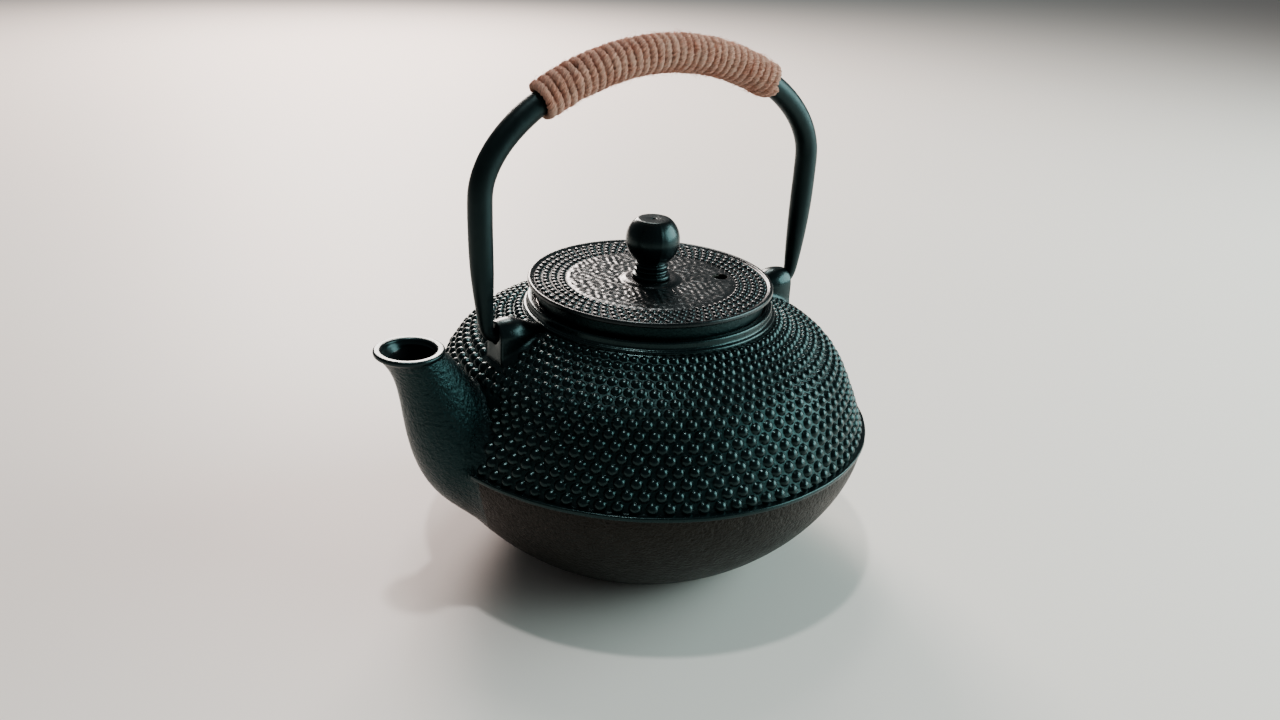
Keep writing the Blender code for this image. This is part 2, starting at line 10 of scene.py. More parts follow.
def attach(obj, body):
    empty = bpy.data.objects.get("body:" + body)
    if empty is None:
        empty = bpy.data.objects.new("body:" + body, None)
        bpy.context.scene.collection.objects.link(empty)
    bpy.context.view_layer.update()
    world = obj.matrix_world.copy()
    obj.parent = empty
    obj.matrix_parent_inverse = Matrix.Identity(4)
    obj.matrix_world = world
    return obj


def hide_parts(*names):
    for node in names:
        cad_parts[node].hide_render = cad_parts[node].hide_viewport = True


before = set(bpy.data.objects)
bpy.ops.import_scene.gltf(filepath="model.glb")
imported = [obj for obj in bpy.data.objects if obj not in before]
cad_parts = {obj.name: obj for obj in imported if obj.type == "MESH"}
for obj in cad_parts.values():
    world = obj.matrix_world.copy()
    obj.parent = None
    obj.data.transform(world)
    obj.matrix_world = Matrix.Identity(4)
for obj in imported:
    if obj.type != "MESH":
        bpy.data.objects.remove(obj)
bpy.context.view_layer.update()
mm = 0.001                      # the dictionaries below are in millimetres, the meshes in metres
fullTurn = 2.0 * math.pi
print("frame loaded:", len(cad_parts), "CAD nodes")


def bezier(controls, t):
    # cubic curve through four controls: the Bernstein weights of t times the controls
    c = np.asarray(controls, float)
    t = np.asarray(t, float)
    weights = np.stack([(1 - t) ** 3, 3 * (1 - t) ** 2 * t, 3 * (1 - t) * t ** 2, t ** 3], axis=-1)
    return weights @ c


def bezierSlope(controls, t):
    # derivative of the same curve: the quadratic weights times the control differences
    c = np.diff(np.asarray(controls, float), axis=0)
    t = np.asarray(t, float)
    weights = 3 * np.stack([(1 - t) ** 2, 2 * (1 - t) * t, t ** 2], axis=-1)
    return weights @ c


def lengthAlong(line):
    # running length of a polyline
    return np.concatenate(([0.0], np.cumsum(np.linalg.norm(np.diff(line, axis=0), axis=1))))


def atLength(line, places):
    # points of a polyline at the given running lengths
    length = lengthAlong(line)
    return np.stack([np.interp(places, length, line[:, i]) for i in range(line.shape[1])], axis=-1)


def evenly(line, step):
    # the same polyline with points about one step apart
    total = lengthAlong(line)[-1]
    return atLength(line, np.linspace(0.0, total, max(int(round(total / step)), 1) + 1))


def roundCorners(corners, setback, perCorner=5):
    # each corner becomes a quadratic curve between points set back along its two sides
    p = np.asarray(corners, float)
    back = np.broadcast_to(np.asarray(setback, float), (len(p) - 2,))[:, None]
    before, after = p[:-2] - p[1:-1], p[2:] - p[1:-1]
    lengthBefore = np.linalg.norm(before, axis=1, keepdims=True)
    lengthAfter = np.linalg.norm(after, axis=1, keepdims=True)
    start = p[1:-1] + before / lengthBefore * np.minimum(back, 0.48 * lengthBefore)
    end = p[1:-1] + after / lengthAfter * np.minimum(back, 0.48 * lengthAfter)
    t = np.linspace(0, 1, perCorner)[None, :, None]
    arcs = (1 - t) ** 2 * start[:, None] + 2 * t * (1 - t) * p[1:-1, None] + t ** 2 * end[:, None]
    return np.vstack((p[:1], arcs.reshape(-1, 2), p[-1:]))


def unit(vectors):
    # the same directions with length one
    return vectors / np.linalg.norm(vectors, axis=-1, keepdims=True)


def tangents(line):
    # unit direction of travel at each point of a polyline
    return unit(np.gradient(line, axis=0))


def sideways(line):
    # unit vector to the right of a polyline's direction of travel
    along = tangents(line)
    return np.stack((along[:, 1], -along[:, 0]), axis=1)


def turnAngles(count):
    # angles spread evenly round a circle
    return np.linspace(0, fullTurn, count, endpoint=False)


def waves(points, wavelength, count, seed, spread=0.35):
    # isotropic ripple: a sum of cosines in random directions with wavelengths round one value
    random = np.random.default_rng(seed)
    direction = unit(random.normal(size=(count, points.shape[-1])))
    number = fullTurn / (wavelength * (1 + spread * random.uniform(-1, 1, count)))
    phase = random.uniform(0, fullTurn, count)
    return np.cos(points @ (direction * number[:, None]).T + phase).sum(-1) * math.sqrt(2.0 / count)


def smooth(value, low, high):
    # 0 below low, 1 above high, easing between
    t = np.clip((value - low) / (high - low), 0, 1)
    return t * t * (3 - 2 * t)


def gridQuads(rows, columns, closeRows=False):
    # corner numbers of every cell of a grid of points whose columns close into rings
    i = np.arange(rows if closeRows else rows - 1)[:, None]
    j = np.arange(columns)[None, :]
    nextRow, nextColumn = (i + 1) % rows, (j + 1) % columns
    corners = [i * columns + j, nextRow * columns + j, nextRow * columns + nextColumn,
               i * columns + nextColumn]
    return np.stack([np.broadcast_to(c, (i.shape[0], j.shape[1])) for c in corners], -1).reshape(-1, 4)


def signedVolume(points, quads):
    # sum of the tetrahedra from the origin to each half of each quad
    a, b, c, d = (points[quads[:, k]] for k in range(4))
    return (np.einsum("ij,ij->i", a, np.cross(b, c)) + np.einsum("ij,ij->i", a, np.cross(c, d))).sum() / 6


def copyFaces(faces, count, corners):
    # the same faces for each of many solids whose corners follow one another
    return (faces[None] + np.arange(count)[:, None, None] * corners).reshape(-1, faces.shape[1]).tolist()


def cellUv(rowValues, columns, span=1.0):
    # UV at each corner of each grid cell: the row's own value, and the share of the way round times span
    i, j = np.divmod(np.arange((len(rowValues) - 1) * columns), columns)
    low, high = rowValues[i], rowValues[i + 1]
    left, right = j / columns * span, (j + 1) / columns * span
    corners = ((low, left), (high, left), (high, right), (low, right))
    return np.stack([np.stack(corner, -1) for corner in corners], 1)


def outwardQuads(points, closeRows=False):
    # the cells of a grid of points (rows, columns, 3), turned to face out of the solid
    quads = gridQuads(*points.shape[:2], closeRows)
    return quads if signedVolume(points.reshape(-1, 3), quads) >= 0 else quads[:, ::-1]


def mergeDoubles(mesh, apart, sliver):
    # corners closer than apart become one, and faces thinner than the sliver close up
    shape = bmesh.new()
    shape.from_mesh(mesh)
    bmesh.ops.remove_doubles(shape, verts=shape.verts, dist=apart)
    bmesh.ops.dissolve_degenerate(shape, edges=shape.edges, dist=sliver)
    shape.to_mesh(mesh)
    shape.free()


def addObject(name, data):
    thing = bpy.data.objects.new(name, data)
    bpy.context.scene.collection.objects.link(thing)
    return thing


def addPiece(name, points, faces, finishes, sharpAngle=38.0, slots=None, uv=None):
    # points in millimetres; doubles at poles are merged and creases sharper than the angle stay crisp
    mesh = bpy.data.meshes.new(name)
    mesh.from_pydata((np.asarray(points).reshape(-1, 3) * mm).tolist(), [], [list(f) for f in faces])
    for finish in finishes:
        mesh.materials.append(finish)
    if slots is not None:
        mesh.polygons.foreach_set("material_index", np.asarray(slots, np.int32))
    if uv is not None:
        layer = mesh.uv_layers.new(name="along")
        layer.data.foreach_set("uv", np.asarray(uv, np.float32).ravel())
    mergeDoubles(mesh, 1e-7, 1e-8)
    mesh.shade_smooth()
    mesh.set_sharp_from_angle(angle=math.radians(sharpAngle))
    return addObject(name, mesh)


def addGrid(name, points, finishes, closeRows=False, rowSlots=None):
    # a grid of points as one piece, with a finish chosen row by row
    quads = outwardQuads(points, closeRows)
    slots = None
    if rowSlots is not None:
        rows, columns = points.shape[:2]
        slots = np.repeat(rowSlots[:rows if closeRows else rows - 1], columns)
    return addPiece(name, points, quads.tolist(), finishes, slots=slots)


def turnedPoints(profile, steps):
    # a profile of (radius, height) carried round Z
    angle = turnAngles(steps)
    r, z = profile[:, :1], profile[:, 1:]
    return np.stack((r * np.cos(angle), r * np.sin(angle), np.broadcast_to(z, (len(profile), steps))), -1)


def inSpace(centre, along, angle, reach):
    # a point at an angle round a line in the XZ plane, reach away from the line's own point
    up = np.stack((-along[..., 1], along[..., 0]), -1)
    x = centre[..., 0] + reach * np.cos(angle) * up[..., 0]
    z = centre[..., 1] + reach * np.cos(angle) * up[..., 1]
    return np.stack((x, reach * np.sin(angle), z), -1)


def cutAway(piece, cutter):
    # boolean difference, applied, with the cutter removed afterwards
    step = piece.modifiers.new("cut", "BOOLEAN")
    step.operation = "DIFFERENCE"
    step.solver = "EXACT"
    step.object = cutter
    bpy.context.view_layer.update()
    depsgraph = bpy.context.evaluated_depsgraph_get()
    mesh = bpy.data.meshes.new_from_object(piece.evaluated_get(depsgraph))
    piece.modifiers.clear()
    old = piece.data
    piece.data = mesh
    mesh.name = old.name
    bpy.data.meshes.remove(old)
    bpy.data.objects.remove(cutter, do_unlink=True)
    mergeDoubles(piece.data, 0.002 * mm, 0.002 * mm)
    piece.data.set_sharp_from_angle(angle=math.radians(38.0))


def newFinish(name):
    finish = bpy.data.materials.new(name)
    finish.use_nodes = True
    tree = finish.node_tree
    return finish, tree, tree.nodes["Principled BSDF"]


def setInputs(tree, node, inputs):
    # a socket is linked; any other value is set on the input itself
    for key, value in inputs.items():
        if isinstance(value, bpy.types.NodeSocket):
            tree.links.new(value, node.inputs[key])
        else:
            node.inputs[key].default_value = value


def addNode(tree, kind, inputs=None, **settings):
    node = tree.nodes.new(kind)
    for key, value in settings.items():
        setattr(node, key, value)
    setInputs(tree, node, inputs or {})
    return node


def objectPlace(tree):
    return addNode(tree, "ShaderNodeTexCoord").outputs["Object"]


def maths(tree, operation, first, second):
    return addNode(tree, "ShaderNodeMath", {0: first, 1: second}, operation=operation).outputs[0]


def noise(tree, vector, scale, detail=3.0, rough=0.55, distortion=0.0):
    return addNode(tree, "ShaderNodeTexNoise", {"Vector": vector, "Scale": scale, "Detail": detail,
                                                "Roughness": rough, "Distortion": distortion}).outputs["Fac"]


def spread(tree, value, low, high, fromLow=0.3, fromHigh=0.7):
    # the middle of a noise stretched to a range
    node = addNode(tree, "ShaderNodeMapRange", {"Value": value, "From Min": fromLow, "From Max": fromHigh,
                                                "To Min": low, "To Max": high})
    return node.outputs["Result"]


def blendColours(tree, factor, dark, light):
    ramp = addNode(tree, "ShaderNodeValToRGB", {"Fac": factor})
    ramp.color_ramp.elements[0].position = 0.3
    ramp.color_ramp.elements[1].position = 0.7
    ramp.color_ramp.elements[0].color = (*dark, 1)
    ramp.color_ramp.elements[1].color = (*light, 1)
    return ramp.outputs["Color"]


def bumpOn(tree, height, depth, under=None):
    inputs = {"Height": height, "Distance": depth * mm, "Strength": 1.0}
    if under is not None:
        inputs["Normal"] = under
    return addNode(tree, "ShaderNodeBump", inputs).outputs["Normal"]


ironLooks = dict(
    # tones, range of roughness, skin grain and slow swell as (size, depth) in mm, painted sheen tint (teal
    # for the window's light; warm on the rough cast iron), coat
    studdedIron=dict(dark=(0.0018, 0.0036, 0.0042), light=(0.0045, 0.0085, 0.0095), rough=(0.22, 0.32),
        grain=(0.55, 0.05), swell=(3.2, 0.12), tint=(0.55, 0.95, 0.95), coat=0.1, coatRough=0.15),
    shoulderIron=dict(dark=(0.0016, 0.0034, 0.004), light=(0.0042, 0.008, 0.009), rough=(0.36, 0.48),
        grain=(0.8, 0.16), swell=(3.2, 0.12), tint=(0.5, 0.95, 0.95), coat=0.0, coatRough=0.25),
    roughCastIron=dict(dark=(0.0035, 0.004, 0.004), light=(0.008, 0.0072, 0.0062), rough=(0.36, 0.5),
        grain=(1.25, 0.85), swell=(2.8, 0.36), tint=(0.72, 0.64, 0.56), coat=0.0, coatRough=0.28),
    spoutIron=dict(dark=(0.0018, 0.0036, 0.0042), light=(0.005, 0.009, 0.01), rough=(0.25, 0.35),
        grain=(1.15, 0.62), swell=(2.4, 0.25), tint=(0.5, 0.93, 0.95), coat=0.0, coatRough=0.25),
    hammeredIron=dict(dark=(0.0022, 0.0036, 0.0042), light=(0.006, 0.0085, 0.0092), rough=(0.24, 0.34),
        grain=(0.5, 0.04), swell=(3.0, 0.1), tint=(0.8, 0.97, 1.0), coat=0.12, coatRough=0.15),
    polishedIron=dict(dark=(0.0018, 0.0032, 0.0038), light=(0.004, 0.0065, 0.0075), rough=(0.26, 0.34),
        grain=(0.55, 0.03), swell=(4.0, 0.1), tint=(0.6, 0.95, 0.97), coat=0.1, coatRough=0.16),
    handleIron=dict(dark=(0.0018, 0.0024, 0.0028), light=(0.004, 0.0052, 0.0058), rough=(0.38, 0.5),
        grain=(0.45, 0.025), swell=(5.0, 0.16), tint=(0.62, 0.95, 0.97), coat=0.0, coatRough=0.25),
)


def ironFinish(name):
    # lacquered iron: mottled tone and gloss, a fine skin over a slow swell of the casting
    look = SimpleNamespace(**ironLooks[name])
    finish, tree, shader = newFinish(name)
    place = objectPlace(tree)
    mottle = noise(tree, place, 60.0, 4.0)
    sheen = noise(tree, place, 170.0, 4.0, 0.6)
    swell = noise(tree, place, 1 / (look.swell[0] * mm), 2.0)
    grain = noise(tree, place, 1 / (look.grain[0] * mm), 3.0, 0.6)
    slow = bumpOn(tree, swell, look.swell[1])
    setInputs(tree, shader, {"Base Color": blendColours(tree, mottle, look.dark, look.light),
                             "Roughness": spread(tree, sheen, *look.rough),
                             "Normal": bumpOn(tree, grain, look.grain[1], slow),
                             # the specular tint paints a coloured sheen into every reflection: teal for the
                             # window's light, warm on the rough cast iron
                             "Specular Tint": (*look.tint, 1), "IOR": 1.50,
                             "Coat Weight": look.coat, "Coat Roughness": look.coatRough})
    return finish


iron = {name: ironFinish(name) for name in ironLooks}

enamelLook = dict(dark=(0.010, 0.011, 0.012), light=(0.022, 0.024, 0.026), rough=(0.10, 0.2),
                  ripple=6.0, rippleDepth=0.12)


def enamelFinish():
    # glassy dark enamel with a slight orange peel
    look = SimpleNamespace(**enamelLook)
    finish, tree, shader = newFinish("enamel")
    place = objectPlace(tree)
    mottle = noise(tree, place, 90.0)
    peel = noise(tree, place, 1 / (look.ripple * mm), 2.0)
    setInputs(tree, shader, {"Base Color": blendColours(tree, mottle, look.dark, look.light),
                             "Roughness": spread(tree, mottle, *look.rough),
                             "Normal": bumpOn(tree, peel, look.rippleDepth)})
    return finish


enamel = enamelFinish()

juteLook = dict(dark=(0.46, 0.165, 0.105), light=(1.0, 0.50, 0.355), pale=(1.0, 0.70, 0.55),
                lay=-0.5, streaks=5.0, run=0.5, rough=(0.75, 0.95), fibreDepth=1.5)


def juteFinish():
    # fibres run along the twine with the twist: noise stretched along U, sheared by V
    look = SimpleNamespace(**juteLook)
    finish, tree, shader = newFinish("juteTwine")
    along = addNode(tree, "ShaderNodeUVMap", uv_map="along").outputs["UV"]
    parts = addNode(tree, "ShaderNodeSeparateXYZ", {"Vector": along}).outputs
    across = maths(tree, "ADD", parts["Y"], maths(tree, "MULTIPLY", parts["X"], look.lay))
    laid = addNode(tree, "ShaderNodeCombineXYZ", {"X": maths(tree, "MULTIPLY", parts["X"], look.run),
                                                  "Y": maths(tree, "MULTIPLY", across, look.streaks)})
    strands = noise(tree, laid.outputs["Vector"], 3.2, 5.0, 0.7, 0.25)
    patches = noise(tree, objectPlace(tree), 210.0, 3.0, 0.6)
    # the same noise drives the bump, so the colour is darker where the fibres sink: painted shade in the
    # grooves between fibres as well as the fibres' own tone
    fibreToneAndShade = spread(tree, strands, 0.2, 0.8, 0.36, 0.64)
    mixed = addNode(tree, "ShaderNodeMix", data_type="RGBA")
    setInputs(tree, mixed, {"Factor": spread(tree, patches, 0.0, 0.45, 0.35, 0.7),
                            6: blendColours(tree, fibreToneAndShade, look.dark, look.light), 7: (*look.pale, 1)})
    setInputs(tree, shader, {"Base Color": mixed.outputs[2], "Roughness": spread(tree, strands, *look.rough),
                             "Normal": bumpOn(tree, strands, look.fibreDepth), "Sheen Weight": 0.25,
                             "Sheen Roughness": 0.5, "Specular IOR Level": 0.25})
    return finish


jute = juteFinish()

steelLook = dict(dark=(0.48, 0.47, 0.45), light=(0.62, 0.61, 0.59), rough=(0.20, 0.34),
                 brush=(40.0, 40.0, 3600.0))


def steelFinish():
    # brushed round the axis: noise fine in height, slow elsewhere
    finish, tree, shader = newFinish("stainlessSteel")
    stretched = addNode(tree, "ShaderNodeMapping", {"Vector": objectPlace(tree), "Scale": steelLook["brush"]})
    brush = noise(tree, stretched.outputs["Vector"], 1.0, 4.0, 0.7)
    setInputs(tree, shader, {"Base Color": blendColours(tree, brush, steelLook["dark"], steelLook["light"]),
                             "Roughness": spread(tree, brush, *steelLook["rough"]),
                             "Normal": bumpOn(tree, brush, 0.01), "Metallic": 1.0})
    return finish


steel = steelFinish()

# shade is the painted shade inside the holes
screenLook = dict(pitch=1.5, edge=(0.2592, 0.2952), tone=(0.50, 0.49, 0.47), shade=(0.006, 0.006, 0.006))


def screenFinish():
    # etched screen: round holes painted dark, as the shade seen through them, on a staggered grid of the UV,
    # in units of the pitch
    finish, tree, shader = newFinish("etchedScreen")
    along = addNode(tree, "ShaderNodeUVMap", uv_map="along").outputs["UV"]

    def vectorMaths(operation, first, second=(0, 0, 0)):
        return addNode(tree, "ShaderNodeVectorMath", {0: first, 1: second}, operation=operation).outputs

    def gridDistance(shift):
        cell = vectorMaths("FRACTION", vectorMaths("ADD", along, (shift, shift, 0))[0])[0]
        return vectorMaths("LENGTH", vectorMaths("SUBTRACT", cell, (0.5, 0.5, 0))[0])["Value"]

    near = maths(tree, "MINIMUM", gridDistance(0.0), gridDistance(0.5))
    solid = spread(tree, near, 0.0, 1.0, *screenLook["edge"])
    setInputs(tree, shader, {"Base Color": blendColours(tree, solid, screenLook["shade"], screenLook["tone"]),
                             "Metallic": solid, "Roughness": spread(tree, solid, 0.8, 0.3, 0.0, 1.0),
                             "Normal": bumpOn(tree, solid, 0.15)})
    return finish


screen = screenFinish()
print("finishes made")


casting = dict(     # everything in millimetres
    waistRadius=74.3, waistHeight=46.3, baseRadius=37.0, bowlPower=1.7,
    shoulderFoot=72.9, shoulderTop=(41.2, 83.0), lean=(0.296, 0.690), roll=(0.336, 0.755),
    seamLip=0.7, seamBand=1.8, seamWander=0.10,
    collarRadius=40.0, collarTop=87.0, seatRadius=37.8, seatHeight=85.0, throatRadius=33.5,
    wall=3.2, floor=4.0, steps=288,
)


def bowlCurve(count):
    # superellipse from the waist down to the base's edge
    c = SimpleNamespace(**casting)
    top = c.waistHeight - c.seamBand / 2
    share = 1 - (c.baseRadius / c.waistRadius) ** c.bowlPower
    depth = top / share ** (1 / c.bowlPower)
    drop = np.sin(np.linspace(0, math.pi / 2, count)) * top / depth
    r = c.waistRadius * (1 - drop ** c.bowlPower) ** (1 / c.bowlPower)
    return np.stack((r, top - drop * depth), axis=1)


def shoulderCurve(count):
    # cubic from the collar's foot down to the seam: rolls over, then leans straight
    c = SimpleNamespace(**casting)
    foot = np.array((c.shoulderFoot, c.waistHeight + c.seamBand / 2))
    top = np.array(c.shoulderTop)
    controls = (top, foot + (top - foot) * c.roll, foot + (top - foot) * c.lean, foot)
    return bezier(controls, np.linspace(0, 1, count))


bowlLine = bowlCurve(60)
shoulderLine = shoulderCurve(70)
outerLine = np.vstack((shoulderLine, bowlLine))
outerNormal = np.vstack((-sideways(shoulderLine), -sideways(bowlLine)))


def potDistance(points):
    # signed distance from the casting's outside: along the outline's normal at its nearest point
    flat = np.stack((np.hypot(points[..., 0], points[..., 1]), points[..., 2]), -1).reshape(-1, 2)
    gap = ((flat[:, None, :] - outerLine[None]) ** 2).sum(-1)
    nearest = gap.argmin(1)
    return ((flat - outerLine[nearest]) * outerNormal[nearest]).sum(-1).reshape(points.shape[:-1])


def castBody():
    # one closed profile turned round Z: inside from the floor up, throat, seat and collar, then shoulder,
    # seam and bowl down to the base; the seam's radius wanders by a sum of sines of the angle
    c = SimpleNamespace(**casting)
    innerShoulder = (shoulderLine - c.wall * -sideways(shoulderLine))[::-1]
    innerBowl = (bowlLine - c.wall * -sideways(bowlLine))[::-1]
    innerBowl = innerBowl[innerBowl[:, 1] > c.floor + 1.5]
    innerShoulder = innerShoulder[(innerShoulder[:, 1] > innerBowl[-1, 1] + 0.5)
                                  & (innerShoulder[:, 0] > c.throatRadius + 1.0)]
    floorEdge = (innerBowl[0, 0] - 4.5, c.floor)
    inside = np.vstack(([(0, c.floor), (floorEdge[0] * 0.5, c.floor), floorEdge], innerBowl, innerShoulder))
    neck = roundCorners([innerShoulder[-1], (c.throatRadius, innerShoulder[-1, 1] + 0.8),
                         (c.throatRadius, c.seatHeight), (c.seatRadius, c.seatHeight),
                         (c.seatRadius, c.collarTop), (c.collarRadius, c.collarTop),
                         (c.collarRadius, c.shoulderTop[1] + 1.5),
                         (c.shoulderTop[0], c.shoulderTop[1] + 1.3),
                         (c.shoulderTop[0] + 0.1, c.shoulderTop[1] + 0.1)],
                        (0.6, 0.5, 0.4, 0.6, 0.8, 0.9, 0.6), 6)
    band = c.seamBand
    lipRadius = c.waistRadius + c.seamLip
    seam = roundCorners([shoulderLine[-1], (lipRadius - 0.05, c.waistHeight + band / 2 - 0.15),
                         (lipRadius, c.waistHeight - band / 2 + 0.3), bowlLine[0]], (0.5, 0.6), 6)
    base = np.array([(c.baseRadius - 1.2, 0.0), (c.baseRadius - 3.0, 0.0), (0.0, 0.0)])
    shoulder = shoulderLine[1:-1]
    bowl = evenly(bowlLine[1:], 1.4)
    rows = [inside, neck[1:], shoulder, seam, bowl, base]
    profile = np.vstack(rows)
    counts = np.cumsum([len(r) for r in rows])
    points = turnedPoints(profile, c.steps)
    # the mould line of the seam wanders a little
    isSeam = np.exp(-((profile[:, 0] - lipRadius) / 0.6) ** 2 - ((profile[:, 1] - c.waistHeight) / 1.2) ** 2)
    angle = turnAngles(c.steps)
    wander = (np.sin(7 * angle + 1) + np.sin(19 * angle) + 0.8 * np.sin(43 * angle + 2)
              + 0.6 * np.sin(71 * angle))
    scale = 1 + isSeam[:, None] * wander * c.seamWander * 0.3 / lipRadius
    points[..., :2] *= scale[..., None]
    slots = np.full(len(profile), 1)
    slots[:counts[0] + 14] = 2
    slots[counts[0] + 14:counts[3] - 3] = 0
    slots[counts[1] + 1:counts[2] - 1] = 3
    finishes = [iron["studdedIron"], iron["roughCastIron"], enamel, iron["shoulderIron"]]
    return addGrid("castBody", points, finishes, rowSlots=slots)


spout = dict(
    mouth=(-85.1, 84.5), lipHeight=1.8, lipRadius=10.5, mouthBore=8.1,
    rootX=-54.0, rootHeight=38.6, heel=(-72.8, 43.2), throat=(-75.1, 75.7),
    outer=(15.5, 20.5, 7.2, 9.4), bore=(9.0, 9.8, 5.0, 7.6), boreShift=4.0,
    fillet=4.0, around=96, along=80, levelFrom=0.35, levelPower=1.5,
)


def spoutPoints(t, turn, controls, shift=0.0):
    # circles whose centres follow a cubic; square to it at the root, level at the mouth
    s = SimpleNamespace(**spout)
    neck = s.mouth[1] - s.lipHeight
    path = ((s.rootX + shift, s.rootHeight), s.heel, s.throat, (s.mouth[0], neck))
    centre, slope = bezier(path, t), bezierSlope(path, t)
    radius = bezier(controls, t)
    lean = np.arctan2(slope[..., 1], -slope[..., 0])
    level = np.clip((t - s.levelFrom) / (1 - s.levelFrom), 0, 1) ** s.levelPower
    lean = lean * (1 - level) + math.pi / 2 * level
    ahead, below = np.cos(turn) * np.sin(lean), np.cos(turn) * np.cos(lean)
    outward = np.stack((-ahead, np.sin(turn) + 0 * lean, -below), -1)
    x = centre[..., 0] - radius * np.cos(turn) * np.sin(lean)
    z = centre[..., 1] - radius * np.cos(turn) * np.cos(lean)
    return np.stack((x, radius * np.sin(turn), z), -1), outward


def startAtDepth(controls, shift, depth, turn, grown=0.0):
    # where along the spout each of its lines, grown outwards, crosses a distance from the casting's outside
    t = np.linspace(0, 1, 300)[:, None]
    points, outward = spoutPoints(t + 0 * turn, turn + 0 * t, controls, shift)
    inside = potDistance(points + grown * outward) < depth
    last = len(t) - 1 - np.argmax(inside[::-1], axis=0)
    return t[last, 0]


def levelRing(radius, height, turn):
    # a level circle round the mouth's centre
    x = spout["mouth"][0] - radius * np.cos(turn)
    return np.stack((x, radius * np.sin(turn), np.full_like(turn, height)), -1)


def filletedOut(points, outward, width):
    # smooth union with the casting: push each point out until the blended distance is zero
    low = np.zeros(points.shape[:-1])
    high = np.full(points.shape[:-1], width)
    for _ in range(16):
        middle = (low + high) / 2
        other = potDistance(points + middle[..., None] * outward)
        near = np.clip(width - np.abs(middle - other), 0, None) / width
        blended = np.minimum(middle, other) - near ** 2 * width / 4
        low = np.where(blended < 0, middle, low)
        high = np.where(blended < 0, high, middle)
    return points + high[..., None] * outward


def pouringSpout():
    # a closed tube: up the bore, over the lip, and down the outside, which blends into the casting and
    # then turns in under its surface
    s = SimpleNamespace(**spout)
    turn = turnAngles(s.around)
    share = np.linspace(0, 1, s.along)[:, None]
    boreStart = startAtDepth(s.bore, s.boreShift, -casting["wall"] - 0.2, turn)
    inner, _ = spoutPoints(boreStart + (1 - boreStart) * share, turn + 0 * share, s.bore, s.boreShift)
    outerStart = startAtDepth(s.outer, 0.0, 0.0, turn, s.fillet)
    t = outerStart + (1 - outerStart) * (1 - share) ** 1.5
    outer, outward = spoutPoints(t, turn + 0 * share, s.outer)
    outer = filletedOut(outer, outward, s.fillet)
    top = s.mouth[1]
    lip = roundCorners([(s.mouthBore - 0.2, top - 1.4), (s.mouthBore, top - 0.05),
                        (s.lipRadius, top + 0.05), (s.lipRadius + 0.05, top - 1.4),
                        (s.outer[3] + 0.05, top - 1.75)], (0.9, 0.8, 0.7), 7)
    mouth = np.stack([levelRing(r, z, turn) for r, z in lip])
    last = outer[-1]
    radial = np.hypot(last[:, 0], last[:, 1])
    toAxis = np.stack((-last[:, 0] / radial, -last[:, 1] / radial, -0.5 + 0 * radial), -1)
    rim = last + 0.35 * toAxis + 0.5 * unit(last - last.mean(0))
    deep = last + 2.2 * toAxis
    points = np.concatenate((inner, mouth, outer[1:], rim[None], deep[None]))
    slots = np.zeros(len(points), int)
    slots[:s.along - 6] = 2
    slots[s.along - 6:s.along + len(lip)] = 1
    return addGrid("pouringSpout", points, [iron["spoutIron"], iron["polishedIron"], enamel],
                   closeRows=True, rowSlots=slots)


def boreCutter():
    # a plug the size of the bore, through the casting's wall only
    s = SimpleNamespace(**spout)
    turn = turnAngles(40)
    share = np.linspace(0, 0.5, 12)[:, None]
    points, _ = spoutPoints(share + 0 * turn, turn + 0 * share, tuple(0.97 * r for r in s.bore),
                            s.boreShift)
    keep = potDistance(points).min(1) < -0.9
    rings = points[keep]
    ends = [rings[0].mean(0) + 0 * rings[0], rings[-1].mean(0) + 0 * rings[-1]]
    return addGrid("boreCutter", np.concatenate((ends[0][None], rings, ends[1][None])), [enamel])


lug = dict(face=57.2, height=83.0, radius=5.45, bulgeBack=4.6, barrel=9.0, tailWidth=3.3, tailHeight=1.7,
           root=41.0, edge=0.8, socket=2.3, socketDepth=7.8, flare=2.6, sunk=0.5,
           above=25, beside=14, below=7)


def shoulderHeight(x, y):
    # height of the shoulder's surface under a point
    return np.interp(-np.hypot(x, y), -shoulderLine[::-1, 0], shoulderLine[::-1, 1])


def lugSection(x, radius, rise):
    # half an ellipse above; each side drops straight and flares into the shoulder; closed underneath
    g = SimpleNamespace(**lug)
    x, radius, rise = (np.asarray(a)[:, None] for a in (x, radius, rise))
    turn = np.linspace(0, math.pi, g.above)
    topY, topZ = radius * np.cos(turn), g.height + rise * np.sin(turn)
    share = np.linspace(0, 1, g.beside + 1)[1:]
    foot = shoulderHeight(x, radius + 0.6 * g.flare) - g.sunk
    sideZ = g.height + (foot - g.height) * share
    near = np.clip(1 - (sideZ - foot) / (g.flare + g.sunk), 0, 1)
    sideY = radius + 0.62 * g.flare * near ** 2.2
    across = np.linspace(-1, 1, g.below + 2)[1:-1]
    underY = -across * sideY[:, -1:]
    underZ = foot + 0 * across
    y = np.hstack((topY, -sideY, underY[:, ::-1], sideY[:, ::-1]))
    z = np.hstack((topZ, sideZ, underZ, sideZ[:, ::-1]))
    return np.stack((np.broadcast_to(x, y.shape), y, z), -1)


